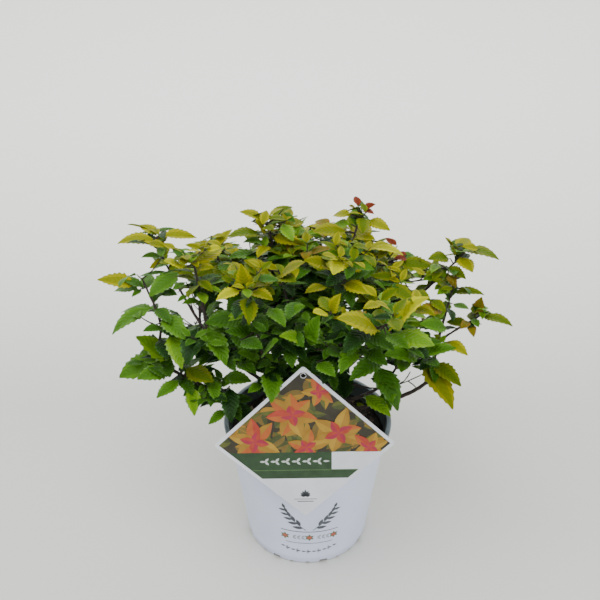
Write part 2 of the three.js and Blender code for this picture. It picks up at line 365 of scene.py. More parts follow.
def makePot():
    top = pot["height"]
    skirt = top - pot["lipDrop"]
    rim = pot["rimRadius"]
    inner = potRadiusAt(top) - pot["wall"]
    wallSteps = [(potRadiusAt(z), z) for z in (3, 9, 10, 11, 40, 75, 110, 135)]
    wallSteps[2] = (wallSteps[2][0] + 0.35, 10)           # a fine moulded line near the foot
    profile = [
        (0, 1.2), (60, 1.2), (62, 0), (66, 0), (68.4, 0.4), (69.6, 1.3), *wallSteps,
        (potRadiusAt(skirt), skirt), (rim - 1.6, skirt), (rim - 1.2, skirt + 0.6),
        (rim - 0.3, top - 3), (rim - 0.1, top - 1.4), (rim - 0.5, top - 0.4), (rim - 1.3, top),
        (inner + 1.2, top), (inner + 0.3, top - 0.4), (inner, top - 1.4),
        (potRadiusAt(120) - pot["wall"], 120), (potRadiusAt(60) - pot["wall"], 60),
        (potRadiusAt(pot["floor"]) - pot["wall"], pot["floor"]), (0, pot["floor"]),
    ]
    points, faces = lathe(profile, pot["sides"])
    piece = makePiece("pot_shell", makeMesh("pot_shell", points, faces))
    cutters = []
    for i in range(pot["drains"]):
        wide, deep, tall = pot["smallDrain"] if i % 3 else pot["drainSize"]
        turn = Matrix.Rotation(i / pot["drains"] * math.tau + math.radians(pot["drainTurn"]), 3, "Z")
        corners = []
        for x in (pot["baseRadius"] - deep, pot["baseRadius"] + deep):
            for y in (-wide / 2, wide / 2):
                corners += [turn @ Vector((x, y, -tall)), turn @ Vector((x, y * 0.8, tall))]
        boxFaces = [(0, 1, 3, 2), (4, 6, 7, 5), (0, 4, 5, 1), (2, 3, 7, 6), (0, 2, 6, 4), (1, 5, 7, 3)]
        cutters.append(makePiece("drainCutter", makeMesh("drainCutter", corners, boxFaces)))
    cutWith(piece, cutters)
    mesh = piece.data
    for material in (
        makeSurface("potWhite", pot["white"], (0.34, 0.5), grain=60, relief=0.12, reliefScale=260,
                    second=pot["whiteShade"], patches=14, share=(0.4, 0.75)),
        makeSurface("potSlate", pot["slate"], (0.3, 0.5), grain=150, relief=0.15, reliefScale=500,
                    second=pot["slatePale"], patches=60),
        makeSurface("potInside", pot["inside"], (0.4, 0.6), grain=120, relief=0.2, reliefScale=500,
                    second=pot["insidePale"], patches=50),
    ):
        mesh.materials.append(material)
    slots = []
    for face in mesh.polygons:
        z = face.center.z / mm
        r = math.hypot(face.center.x, face.center.y) / mm
        if z > skirt - 0.5 and r > inner + 0.6:
            slots.append(1)
        elif z > 1.9 and r < potRadiusAt(z) - 0.9:
            slots.append(2)
        else:
            slots.append(0)
    mesh.polygons.foreach_set("material_index", slots)
    smooth(mesh, 40)
    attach(piece, "root")
    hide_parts("pot")


def turned(point, angle, shift):
    c = math.cos(angle)
    s = math.sin(angle)
    return (c * point[0] - s * point[1] + shift[0], s * point[0] + c * point[1] + shift[1])


def leafRows(length, width, steps, angle, foot):
    # a flat pointed leaf that starts at the foot, along +y before its turn, as rows of three points
    rows = []
    for i in range(steps + 1):
        t = i / steps
        half = width / 2 * math.sin(math.pi * t ** 0.8) ** 0.9 if 0 < t < 1 else 0.0
        rows.append([turned((x, t * length), angle, foot) for x in (-half, 0, half)])
    return rows


def printShapes():
    # twin sprigs, rules, rosettes with leaves between them, and a garland near the foot, each as
    # rows of points in (across, up) with its ink
    shapes = []
    dark, pale, green, rust = range(len(pot["inks"]))

    def addLeaves(places, length, width, ink):
        for across, level, angle in places:
            shapes.append((leafRows(length, width, 5, math.radians(angle), (across, level)), ink))

    middle = pot["printMiddle"]
    longest, widest = pot["sprigLeaf"]
    for side in (-1, 1):
        bend = [(middle + side * (4 + t * 2.1 + 5 * math.sin(t / 4)), pot["sprigFoot"] + t * 3.4)
                for t in range(11)]
        shapes.append(([[(x - w, z) for w in (0.6, -0.6)] for x, z in bend], dark))
        for i, (x, z) in enumerate(bend[1:]):
            lean = -side * (20 if i % 2 else 84)
            addLeaves([(x, z, lean)], longest - i * 0.5, widest - i * 0.15, dark)
    for level, half, thick in pot["rules"]:
        shapes.append(([[(x, level - thick), (x, level + thick)] for x in
                        [middle - half + k * half / 12 for k in range(25)]], dark))
    row = pot["rowLevel"]
    for x in pot["rosettes"]:
        addLeaves([(x, row, k * 60) for k in range(6)], *pot["rosetteLeaf"], green)
        addLeaves([(x, row, 30 + k * 60) for k in range(6)], *pot["heartLeaf"], rust)
    addLeaves([(x, row, lean) for x in pot["chevrons"] for lean in (-48, -132)],
              *pot["chevronLeaf"], pale)
    for k in range(11):
        x = -31 + k * 6
        level = pot["garlandLevel"] + 0.006 * x * x
        addLeaves([(x, level, -90)], *pot["garlandLeaf"], dark)
        if k % 2:
            addLeaves([(x, level, lean) for lean in (-30, -150)], *pot["garlandSideLeaf"], pale)
    return shapes


def makePotPrint():
    points = []
    faces = []
    inks = []
    for rows, ink in printShapes():
        first = len(points)
        width = len(rows[0])
        for row in rows:
            for across, level in row:
                r = potRadiusAt(level) + pot["printLift"]
                a = -math.pi / 2 + across / r
                points.append((r * math.cos(a), r * math.sin(a), level))
        for i in range(len(rows) - 1):
            for j in range(width - 1):
                a = first + i * width + j
                quad = (a, a + 1, a + 1 + width, a + width)
                p, q, s, t = [Vector(points[corner]) for corner in quad]
                n = (q - p).cross(s - p)
                if n.length < 1e-6:
                    n = (s - p).cross(t - p)
                faces.append(quad if n.y < 0 else quad[::-1])
                inks.append(ink)
    mesh = makeMesh("pot_print", points, faces)
    for i, ink in enumerate(pot["inks"]):
        pale = [c + pot["inkMottle"] for c in ink]
        mesh.materials.append(makeSurface(f"potInk{i}", ink, (0.35, 0.5), second=pale))
    mesh.polygons.foreach_set("material_index", inks)
    mesh.validate()
    piece = makePiece("pot_print", mesh)
    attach(piece, "root")


makePot()
makePotPrint()
print("pot is made")


mix = {
    "level": 140, "foot": 2.5, "gap": 0.4, "rings": 26, "sides": 96, "swell": 2.4, "edgeDrop": 1.5,
    "dark": (24, 20, 17), "brown": (42, 32, 26),
    "chips": [(32, 26, 22), (62, 48, 37), (104, 84, 66), (20, 17, 15)],
    "crumbsPerSquareMetre": 60000.0, "barkPerSquareMetre": 9000.0, "crumbInset": 7.5,
    "crumb": [(0.7, 1.7)] * 3, "bark": [(3.0, 6.5), (1.4, 3.0), (0.5, 1.1)], "shapes": 6,
    "crumbDepth": 4.2, "seed": 5,
}


def mixLift(x, y):
    return mix["swell"] * (noise.noise(Vector((x, y, 3)) * 0.035) + 0.5 * noise.noise(
        Vector((x, y, 9)) * 0.12) + 0.3 * noise.noise(Vector((x, y, 1)) * 0.4))


def makeMix():
    sides = mix["sides"]
    edge = potRadiusAt(mix["level"]) - pot["wall"] - mix["gap"]
    low = potRadiusAt(mix["foot"]) - pot["wall"] - mix["gap"] - 1
    profile = [(0, mix["foot"]), (low, mix["foot"]), (edge - 1, mix["level"] - 5)]
    for k in range(mix["rings"]):
        t = k / mix["rings"]
        profile.append((edge * (1 - t), mix["level"] - mix["edgeDrop"] * (1 - t) ** 6))
    points, faces = lathe(profile + [(0, mix["level"])], sides)
    firstRough = 1 + 2 * sides
    for i in range(firstRough, len(points)):
        x, y, z = points[i]
        points[i] = (x, y, z + mixLift(x, y))
    mesh = makeMesh("potting_mix", points, faces)
    mesh.materials.append(makeSurface("mixDark", mix["dark"], (0.8, 1.0), grain=900, relief=1.0,
                                      reliefScale=900, second=mix["brown"], patches=260))
    mesh.shade_smooth()
    piece = makePiece("potting_mix", mesh)
    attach(piece, "root")
    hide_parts("potting_soil")
    return mesh


def makeCrumb(name, size, rng, zone):
    # a broken lump: a box with its corners pushed about
    points = []
    for x in (-1, 1):
        for y in (-1, 1):
            for z in (-1, 1):
                points.append([c * s * rng.uniform(0.55, 1.15) for c, s in zip((x, y, z), size)])
    points += [(s * rng.uniform(1.0, 1.3), 0, 0) for s in (-size[0], size[0])]
    faces = [(0, 1, 8), (1, 3, 8), (3, 2, 8), (2, 0, 8), (4, 6, 9), (6, 7, 9), (7, 5, 9), (5, 4, 9),
             (0, 4, 5, 1), (2, 3, 7, 6), (0, 2, 6, 4), (1, 5, 7, 3)]
    mesh = makeMesh(name, points, faces)
    setValues(mesh, "zone", "INT", "FACE", "value", [zone] * len(faces))
    return bpy.data.objects.new(name, mesh)


def makeCrumbs(top):
    rng = random.Random(mix["seed"])
    kinds = {}
    for kind, firstChip, chips in (("crumb", 0, 4), ("bark", 1, 3)):
        kinds[kind] = bpy.data.collections.new(kind + "Shapes")
        for i in range(mix["shapes"]):
            size = [rng.uniform(*span) for span in mix[kind]]
            kinds[kind].objects.link(makeCrumb(f"{kind}{i}", size, rng, (i + firstChip) % chips))
    coats = [(zone, makeSurface(f"crumb{zone}", colour, (0.7, 0.95), relief=0.6, reliefScale=1400))
             for zone, colour in enumerate(mix["chips"])]
    tree, sockets, start = startTree("scatterCrumbs", {
        "Crumbs": "Collection", "Bark": "Collection", "Crumbs Density": "Float",
        "Bark Density": "Float", "Seed": "Int", "Least Height": "Float", "Reach": "Float"})
    place = addNode(tree, "GeometryNodeInputPosition").outputs[0]
    height = addNode(tree, "ShaderNodeSeparateXYZ", {0: place}).outputs["Z"]
    high = addNode(tree, "FunctionNodeCompare", {0: height, 1: start["Least Height"]},
                   data_type="FLOAT", operation="GREATER_THAN").outputs[0]
    level = addNode(tree, "ShaderNodeVectorMath", {0: place, 1: (1, 1, 0)}, operation="MULTIPLY")
    reach = addNode(tree, "ShaderNodeVectorMath", {0: level.outputs[0]}, operation="LENGTH")
    near = addNode(tree, "FunctionNodeCompare", {0: reach.outputs["Value"], 1: start["Reach"]},
                   data_type="FLOAT", operation="LESS_THAN").outputs[0]
    inside = addNode(tree, "FunctionNodeBooleanMath", {0: high, 1: near}, operation="AND").outputs[0]
    join = addNode(tree, "GeometryNodeJoinGeometry")
    # kind, least size against its shape, lean, shift of the seed
    for kind, least, lean, shift in (("Crumbs", 0.6, 3.1, 0.0), ("Bark", 0.7, 0.5, 50.0)):
        seed = mathNode(tree, "ADD", start["Seed"], shift)
        spots = addNode(tree, "GeometryNodeDistributePointsOnFaces", {
            "Mesh": start["Geometry"], "Selection": inside, "Density": start[kind + " Density"],
            "Seed": seed})
        turn = addNode(tree, "FunctionNodeRandomValue", {
            0: (-lean, -lean, -3.1), 1: (lean, lean, 3.1), "Seed": seed}, data_type="FLOAT_VECTOR")
        size = addNode(tree, "FunctionNodeRandomValue", {2: least, 3: 1.25, "Seed": seed})
        bits = placeShapes(tree, spots.outputs["Points"], start[kind], turn.outputs[0], size.outputs[1])
        tree.links.new(bits, join.inputs[0])
    endTree(tree, join.outputs[0], coats)
    piece = buildWith("mix_crumbs", top.copy(), tree, sockets, {
        "Crumbs": kinds["crumb"], "Bark": kinds["bark"],
        "Crumbs Density": mix["crumbsPerSquareMetre"], "Bark Density": mix["barkPerSquareMetre"],
        "Seed": mix["seed"], "Least Height": (mix["level"] - mix["crumbDepth"]) * mm,
        "Reach": (potRadiusAt(mix["level"]) - pot["wall"] - mix["crumbInset"]) * mm})
    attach(piece, "root")


makeCrumbs(makeMix())
print("potting mix is made")


label = {
    "centre": (-4, -98, 199), "side": 130, "thick": 0.8, "lean": 3.8, "roll": 1.0, "corner": 3.0,
    "cornerSteps": 7,
    "hole": 2.6, "holeInset": 11, "border": 3.6, "pictureFoot": -9.5, "bandLine": -32.0,
    "bandFoot": -42.5, "blockLeft": 27.5, "layer": 0.04,
    "card": (198, 200, 208), "cardPale": (214, 216, 222),
    "clip": (206, 209, 214), "clipShade": (196, 199, 205),
    "ground": (43, 37, 18), "band": (31, 62, 28), "bandPale": (68, 98, 52),
    "inks": [(150, 112, 20), (166, 86, 26), (82, 86, 22), (150, 28, 58), (166, 130, 32),
             (60, 68, 20), (162, 54, 34), (106, 86, 26)],
    "motif": (62, 66, 72), "vine": (186, 192, 186), "seed": 8,
    # loose leaves: how many, where, length and width
    "scatter": 96, "scatterBounds": ((-84, 84), (-20, 80)), "scatterLeaf": ((17, 27), (9, 13)),
    # rosettes: centre, size, petals; and pairs of inks for the halves of the leaves
    "rosettes": [((-50, 4), 27, 6), ((-12, 36), 28, 7), ((34, 14), 28, 6), ((2, -3), 22, 5),
                 ((15, 62), 18, 5), ((66, -4), 20, 6)],
    "scatterInks": [(2, 5), (5, 2), (7, 2), (7, 5), (0, 7), (2, 7), (0, 2)],
    "petalInks": [(0, 4), (1, 0), (1, 6), (4, 0), (0, 1)], "heartInks": (3, 6),
    # length and width against the rosette's size
    "petal": ((0.85, 1.15), 0.52), "heart": ((0.4, 0.6), 0.32), "hearts": 4,
    "rules": [(-69.5, 12, 0.35), (-72.5, 8.5, 0.5)],   # level, half width, half thickness
    "motifFoot": (0, -66), "vineLevel": -21,
}
leanAngle = math.radians(label["lean"])
labelUp = Vector((0, math.sin(leanAngle), math.cos(leanAngle)))
labelFront = Vector((0, -math.cos(leanAngle), math.sin(leanAngle)))
halfDiagonal = label["side"] / math.sqrt(2)


def onLabel(u, v, layer):
    roll = math.radians(label["roll"])
    across = u * math.cos(roll) - v * math.sin(roll)
    level = u * math.sin(roll) + v * math.cos(roll)
    place = Vector(label["centre"]) + Vector((1, 0, 0)) * across + labelUp * level
    return place + labelFront * (label["layer"] * layer)


def clipped(shape, walls):
    # the shape inside every wall a*u + b*v <= c
    for a, b, c in walls:
        kept = []
        for i, p in enumerate(shape):
            q = shape[(i + 1) % len(shape)]
            dp = a * p[0] + b * p[1] - c
            dq = a * q[0] + b * q[1] - c
            if dp <= 0:
                kept.append(p)
            if dp * dq < 0:
                t = dp / (dp - dq)
                kept.append((lerp(p[0], q[0], t), lerp(p[1], q[1], t)))
        shape = kept
        if len(shape) < 3:
            return []
    return shape


def diamondWalls(inset):
    c = halfDiagonal - inset * math.sqrt(2)
    return [(1, 1, c), (-1, 1, c), (1, -1, c), (-1, -1, c)]


def makeCard():
    half = label["side"] / 2
    corner = label["corner"]
    steps = label["cornerSteps"]
    outline = []
    for cx, cy, first in ((1, -1, -90), (1, 1, 0), (-1, 1, 90), (-1, -1, 180)):
        for k in range(steps):
            a = math.radians(first + k * 90 / (steps - 1))
            outline.append((cx * (half - corner) + corner * math.cos(a),
                            cy * (half - corner) + corner * math.sin(a)))
    outline = [turned(p, math.pi / 4, (0, 0)) for p in outline]
    hole = []
    for k in range(4 * steps):
        a = math.radians(k / (4 * steps) * 360 - 90)
        hole.append((label["hole"] * math.cos(a), halfDiagonal - label["holeInset"]
                     + label["hole"] * math.sin(a)))
    count = len(outline)
    points = []
    for depth in (0.0, -label["thick"]):
        for u, v in outline + hole:
            points.append(onLabel(u, v, depth / label["layer"]))

    # the face is a ring between the outline and the hole, matched by direction from the hole
    def direction(p):
        return math.atan2(p[1] - halfDiagonal + label["holeInset"], p[0])

    order = sorted(range(count), key=lambda i: direction(outline[i]))
    inner = sorted(range(count, 2 * count), key=lambda i: direction(hole[i - count]))
    faces = []
    back = 2 * count
    for k in range(count):
        n = (k + 1) % count
        quad = (order[k], order[n], inner[n], inner[k])
        faces.append(quad)
        faces.append(tuple(i + back for i in reversed(quad)))
        faces.append((order[k], order[k] + back, order[n] + back, order[n]))
        faces.append((inner[n], inner[n] + back, inner[k] + back, inner[k]))
    mesh = makeMesh("label_card", points, faces)
    mesh.materials.append(makeSurface("labelCard", label["card"], (0.3, 0.42), grain=90,
                                      relief=0.06, reliefScale=220, second=label["cardPale"],
                                      patches=20))
    piece = makePiece("label_card", mesh)
    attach(piece, "root")
    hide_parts("picture_label")


def pictureLeaves(rng):
    # rosettes and loose leaves: each is a foot, an angle, a length, a width and two inks
    leaves = []
    across, level = label["scatterBounds"]
    lengths, widths = label["scatterLeaf"]
    for _ in range(label["scatter"]):
        foot = (rng.uniform(*across), rng.uniform(*level))
        pair = rng.choice(label["scatterInks"])
        leaves.append((foot, rng.uniform(0, math.tau), rng.uniform(*lengths), rng.uniform(*widths), *pair))
    petalLengths, petalWidth = label["petal"]
    heartLengths, heartWidth = label["heart"]
    hearts = label["hearts"]
    for centre, size, petals in label["rosettes"]:
        turn = rng.uniform(0, math.tau)
        for k in range(petals):
            angle = turn + k / petals * math.tau + rng.uniform(-0.2, 0.2)
            pair = rng.choice(label["petalInks"])
            leaves.append((centre, angle, size * rng.uniform(*petalLengths), size * petalWidth, *pair))
        for k in range(hearts):
            angle = turn + 0.6 + k / hearts * math.tau
            length = size * rng.uniform(*heartLengths)
            leaves.append((centre, angle, length, size * heartWidth, *label["heartInks"]))
    return leaves


def makePicture():
    points = []
    faces = []
    inks = []
    inner = diamondWalls(label["border"])
    walls = inner + [(0, -1, -label["pictureFoot"])]
    full = [(-95, -95), (95, -95), (95, 95), (-95, 95)]
    hole = (0, halfDiagonal - label["holeInset"])

    def lay(shape, layer, ink):
        if len(shape) < 3:
            return
        first = len(points)
        points.extend(onLabel(u, v, layer) for u, v in shape)
        faces.append(tuple(range(first, first + len(shape))))
        inks.append(ink)

    def layLeaf(rows, bounds, layer, leftInk, rightInk):
        for a, b in zip(rows, rows[1:]):
            lay(clipped([b[1], b[0], a[0], a[1]], bounds), layer, leftInk)
            lay(clipped([a[1], a[2], b[2], b[1]], bounds), layer, rightInk)

    ground, band, bandPale, motif, vine = range(len(label["inks"]), len(label["inks"]) + 5)
    rim = label["hole"] + 0.9
    seam = label["bandLine"]
    for bounds, ink in (
        (walls + [(0, 1, hole[1] - rim)], ground),
        (inner + [(0, -1, rim - hole[1]), (1, 0, -rim)], ground),
        (inner + [(0, -1, rim - hole[1]), (-1, 0, -rim)], ground),
        (inner + [(0, 1, label["pictureFoot"]), (0, -1, -seam - 0.5), (1, 0, label["blockLeft"])], band),
        (inner + [(0, 1, seam - 0.5), (0, -1, -label["bandFoot"])], band),
        (inner + [(0, 1, seam + 0.5), (0, -1, -seam + 0.5)], bandPale),
    ):
        lay(clipped(full, bounds), 1, ink)
    for k in range(24):
        # the ground comes up to the hole all round
        corners = []
        for a in (k * 15, k * 15 + 15):
            c = math.cos(math.radians(a))
            v = math.sin(math.radians(a))
            far = rim / max(abs(c), abs(v))
            corners.append([(c * r, hole[1] + v * r) for r in (far, rim * 0.86)])
        lay(clipped([corners[0][0], corners[1][0], corners[1][1], corners[0][1]], inner), 1, ground)
    laid = []
    rng = random.Random(label["seed"])
    walls = walls + [(0, 1, hole[1] - rim)]
    for foot, angle, length, width, leftInk, rightInk in pictureLeaves(rng):
        rows = leafRows(length, width, 8, angle - math.pi / 2, foot)
        us, vs = zip(*[p for row in rows for p in row])
        box = (min(us), min(vs), max(us), max(vs))
        layer = 1 + max([n for n, b in laid if b[0] < box[2] and box[0] < b[2]
                         and b[1] < box[3] and box[1] < b[3]] or [1])
        laid.append((layer, box))
        layLeaf(rows, walls, layer, leftInk, rightInk)
    for i in range(7):
        rows = leafRows(9 - abs(i - 3) * 1.1, 3.2, 6, math.radians((i - 3) * 24), label["motifFoot"])
        layLeaf(rows, inner, 1, motif, motif)
    for i in range(13):
        for lean in (50, -50) if i % 2 else (0,):
            foot = (-46 + i * 5.4, label["vineLevel"])
            rows = leafRows(5.6 if i % 2 else 6.6, 2.6, 5, math.radians(lean - 90), foot)
            layLeaf(rows, inner, 2, vine, vine)
    for level, half, thick in label["rules"]:
        lay([(-half, level - thick), (half, level - thick), (half, level + thick),
             (-half, level + thick)], 1, motif)
    mesh = makeMesh("label_print", points, faces)
    turnOut(mesh, labelFront)
    parts = ("ground", "band", "bandPale", "motif", "vine")
    for i, colour in enumerate(label["inks"] + [label[part] for part in parts]):
        dark = [max(0, c - 14) for c in colour]
        mesh.materials.append(makeSurface(f"labelInk{i}", colour, (0.3, 0.42), grain=90,
                                          relief=0.05, reliefScale=260, second=dark, patches=90))
    mesh.polygons.foreach_set("material_index", inks)
    mesh.validate()
    piece = makePiece("label_print", mesh)
    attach(piece, "root")


def turnOut(mesh, front):
    # flat print faces the way the card does
    mesh.update()
    flips = [face.index for face in mesh.polygons if face.normal.dot(front) < 0]
    for index in flips:
        mesh.polygons[index].flip()
    mesh.update()


def dressClip():
    finish = makeSurface("clipPlastic", label["clip"], (0.35, 0.5), second=label["clipShade"], patches=80)
    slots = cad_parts["label_clip"].data.materials
    slots.clear()
    slots.append(finish)


makeCard()
makePicture()
dressClip()
print("label is made")


# masses of leaves: bearing from the pot's axis, reach, height, spread of the leaf tips, half height,
# tones, fullness against the plain rule, seed
masses = {
    "left_high": (163, 172, 350, 50, 20, "gold", 1.0, 5281),
    "left_bright": (190, 116, 365, 35, 20, "sun", 2.0, 1380),
    "left_tip": (177, 172, 327, 52, 19, "lime", 1.2, 3715),
    "left_mid": (191, 163, 302, 44, 20, "green", 0.8, 5410),
    "left_low": (187, 166, 249, 44, 23, "green", 1.5, 7034),
    "left_inner": (206, 114, 291, 36, 28, "green", 2.0, 3325),
    "left_foot": (206, 120, 230, 42, 20, "green", 2.0, 6618),
    "upper_left": (158, 107, 345, 36, 24, "gold", 1.7, 6389),
    "top_left": (130, 65, 371, 48, 27, "gold", 1.6, 5252),
    "top_right": (43, 73, 378, 43, 29, "gold", 1.7, 5034),
    "top_mid": (93, 20, 356, 34, 20, "olive", 1.5, 7342),
    "top_side": (25, 93, 346, 38, 18, "sun", 2.0, 7132),
    "front_gold": (332, 46, 362, 40, 20, "gold", 1.7, 6242),
    "centre_left": (231, 91, 363, 34, 28, "gold", 1.5, 4342),
    "centre_top": (233, 48, 364, 32, 20, "gold", 1.0, 3261),
    "centre_small": (283, 103, 363, 24, 14, "sun", 0.7, 3785),
    "front_right": (304, 132, 350, 50, 22, "gold", 1.0, 1253),
    "right_gold": (0, 97, 345, 36, 15, "gold", 1.5, 5321),
    "centre_green": (257, 84, 326, 44, 24, "green", 2.0, 4218),
    "low_left": (236, 84, 274, 38, 20, "green", 2.6, 3257),
    "low_mid": (289, 95, 306, 42, 20, "green", 1.3, 8982),
    "low_right": (333, 111, 281, 46, 18, "green", 1.7, 1727),
    "right_high": (7, 163, 355, 42, 21, "gold", 1.2, 6345),
    "right_inner": (17, 141, 325, 26, 14, "olive", 2.0, 2375),
    "right_mid": (0, 149, 319, 33, 17, "olive", 1.2, 2938),
    "right_tip": (357, 180, 298, 34, 19, "olive", 2.0, 6129),
    "right_bronze": (347, 129, 308, 30, 18, "olive", 1.0, 6219),
    "right_low": (348, 143, 274, 28, 15, "olive", 1.5, 9368),
    "right_foot": (343, 139, 238, 28, 23, "olive", 1.0, 7639),
    "rim_right": (323, 101, 246, 20, 20, "green", 1.8, 9101),
    "back_high": (88, 112, 338, 46, 24, "gold", 2.4, 2212),
    "back_far": (92, 172, 292, 44, 24, "lime", 2.0, 9889),
    "back_left": (135, 150, 303, 44, 24, "lime", 2.4, 8540),
    "back_right": (60, 152, 292, 46, 25, "lime", 2.4, 8751),
    "back_low": (108, 128, 243, 44, 22, "green", 2.4, 9869),
    "side_low_left": (150, 150, 232, 36, 22, "green", 2.0, 6860),
    "side_low_right": (44, 146, 236, 40, 22, "green", 2.0, 5164),
    "heart": (20, 12, 296, 44, 28, "green", 2.6, 4542),
}
# smaller sprays that fill the crown between the masses, in the same terms
fillers = {
    "fill_high_left": (112, 62, 350, 38, 20, "olive", 2.0, 6458),
    "fill_high_right": (62, 104, 338, 38, 20, "olive", 2.0, 3760),
    "fill_mid": (80, 66, 318, 40, 22, "green", 2.4, 8105),
    "fill_left": (140, 100, 318, 40, 22, "lime", 2.0, 5545),
    "fill_right": (35, 100, 300, 40, 22, "lime", 2.4, 4271),
    "fill_low_back": (80, 110, 262, 38, 20, "green", 2.4, 560),
    "fill_low_left": (165, 112, 268, 38, 20, "green", 2.4, 2695),
    "fill_low_right": (15, 108, 262, 36, 20, "green", 2.0, 371),
    "fill_far_left": (115, 162, 300, 34, 18, "lime", 2.4, 7299),
    "fill_far_right": (74, 162, 296, 34, 18, "lime", 2.0, 6656),
}
places = {**masses, **fillers}
# boughs, by the mass each ends in: how low it sweeps, the masses it runs through, seed of its leaves
boughs = {
    "left_high": (0.35, ["left_inner"], 7044),
    "left_tip": (0.7, ["left_foot", "left_low", "left_mid"], 1644),
    "left_bright": (0.3, [], 6445),
    "upper_left": (0.3, [], 1350),
    "top_left": (0.2, [], 3107),
    "top_right": (0.2, [], 982),
    "front_gold": (0.25, [], 6739),
    "centre_left": (0.4, ["low_left"], 15),
    "front_right": (0.5, ["low_mid"], 6467),
    "right_high": (0.35, [], 5223),
    "right_tip": (0.7, ["right_foot", "right_low"], 1375),
    "right_mid": (0.3, [], 2289),
    "back_left": (0.6, ["side_low_left"], 7102),
    "back_far": (0.6, ["back_low"], 8746),
    "back_high": (0.3, [], 8879),
    "back_right": (0.6, ["side_low_right"], 7352),
    "low_right": (0.6, ["rim_right"], 2029),
}
# side boughs: the parent and the place of the fork
forks = {
    "left_bright": ("left_high", 0.6),
    "right_mid": ("right_tip", 0.72),
    "back_high": ("back_far", 0.4),
}
limb = {
    "stemFoot": 13, "stemTaper": [(0, 1.0), (0.12, 0.74), (0.4, 0.58), (1, 0.4)], "stemHeight": 46,
    "boughFoot": 2.8, "boughTip": 0.95,
    "sideShare": 0.72, "throughInset": 0.2, "sides": 10, "ringSpacing": 2.4,
    "relief": 1.65, "reliefScale": 260.0, "twigSides": 6, "twigSpacing": 5.0,
    "twigRelief": 0.66, "twigReliefScale": 400.0, "twigFoot": 1.15, "twigTip": 0.55,
    "sideTwig": (1.4, 0.8),   # foot and tip against a twig's tip
    "bark": (31, 22, 19), "barkPale": (54, 39, 31),
}


def massCentre(name):
    azimuth, reach, height = places[name][:3]
    return bearing(azimuth) * reach + up * height


def smoothLine(stops, steps=24):
    # centripetal curve through the stops
    stops = [stops[0] * 2 - stops[1]] + stops + [stops[-1] * 2 - stops[-2]]
    line = []
    for i in range(len(stops) - 3):
        p0, p1, p2, p3 = stops[i:i + 4]
        d0, d1, d2 = [max(math.sqrt((b - a).length), 1e-4) for a, b in ((p0, p1), (p1, p2), (p2, p3))]
        t1 = ((p1 - p0) / d0 - (p2 - p0) / (d0 + d1) + (p2 - p1) / d1) * d1
        t2 = ((p2 - p1) / d1 - (p3 - p1) / (d1 + d2) + (p3 - p2) / d2) * d1
        for k in range(steps):
            t = k / steps
            line.append(p1 + t1 * t + (p2 * 3 - p1 * 3 - t1 * 2 - t2) * t * t
                        + (p1 * 2 - p2 * 2 + t1 + t2) * t ** 3)
    return line + [stops[-2]]


def pointAlong(line, share):
    # a point and a direction at this share of the line's length
    lengths = [(b - a).length for a, b in zip(line, line[1:])]
    left = sum(lengths) * min(max(share, 0), 1)
    for (a, b), length in zip(zip(line, line[1:]), lengths):
        if left <= length or b is line[-1]:
            return a.lerp(b, left / max(length, 1e-9)), (b - a).normalized()
        left -= length
    return line[-1], (line[-1] - line[-2]).normalized()


def boughLine(name):
    sweep, through, _ = boughs[name]
    order = list(boughs).index(name)
    if name in forks:
        parent, fork = forks[name]
        start = pointAlong(boughLine(parent), fork)[0]
    else:
        start = up * (mix["level"] + 10 + (limb["stemHeight"] - 16) * order / len(boughs))
    stops = []
    for mass in [*through, name]:
        inset = 0 if mass == name else limb["throughInset"] * masses[mass][3]
        stops.append(massCentre(mass) - bearing(masses[mass][0]) * inset)
    # the lower the sweep, the further out and lower the shoulder
    aim = stops[0] - start
    shoulder = start + Vector((aim.x, aim.y, 0)) * (0.1 + 0.5 * sweep) + up * aim.z * (0.42 - 0.28 * sweep)
    return smoothLine([start, shoulder, *stops])


def chainMesh(name, chains):
    # each chain is a line of points with a radius at each end
    points = []
    edges = []
    radii = []
    for line, foot, tip in chains:
        first = len(points)
        for i, p in enumerate(line):
            points.append(p * mm)
            radii.append(lerp(foot, tip, i / (len(line) - 1)) * mm)
            if i:
                edges.append((first + i - 1, first + i))
    mesh = bpy.data.meshes.new(name)
    mesh.from_pydata(points, edges, [])
    setValues(mesh, "thickness", "FLOAT", "POINT", "value", radii)
    return mesh


def limbTree(bark):
    tree, sockets, start = startTree("growLimbs", {
        "Sides": "Int", "Ring Spacing": "Float", "Relief": "Float", "Relief Scale": "Float"})
    line = addNode(tree, "GeometryNodeMeshToCurve", {"Mesh": start["Geometry"]}).outputs[0]
    line = addNode(tree, "GeometryNodeResampleCurve", {
        "Curve": line, "Length": start["Ring Spacing"]}, mode="LENGTH").outputs[0]
    ring = addNode(tree, "GeometryNodeCurvePrimitiveCircle", {
        "Resolution": start["Sides"], "Radius": 1.0}).outputs[0]
    tube = addNode(tree, "GeometryNodeCurveToMesh", {
        "Curve": line, "Profile Curve": ring, "Scale": readAttribute(tree, "thickness", "FLOAT"),
        "Fill Caps": True}).outputs[0]
    bumps = addNode(tree, "ShaderNodeTexNoise", {"Scale": start["Relief Scale"], "Detail": 3.0})
    centred = mathNode(tree, "SUBTRACT", bumps.outputs[0], 0.5)
    height = mathNode(tree, "MULTIPLY", centred, start["Relief"])
    outward = addNode(tree, "GeometryNodeInputNormal").outputs[0]
    away = addNode(tree, "ShaderNodeVectorMath", {0: outward, "Scale": height}, operation="SCALE")
    tube = addNode(tree, "GeometryNodeSetPosition", {"Geometry": tube, "Offset": away.outputs[0]})
    endTree(tree, tube.outputs[0], [(None, bark)])
    return tree, sockets


bark = makeSurface("bark", limb["bark"], (0.6, 0.85), grain=700, relief=0.7, reliefScale=1100,
                   second=limb["barkPale"], patches=240)
growLimbs, limbSockets = limbTree(bark)
boughLines = {name: boughLine(name) for name in boughs}


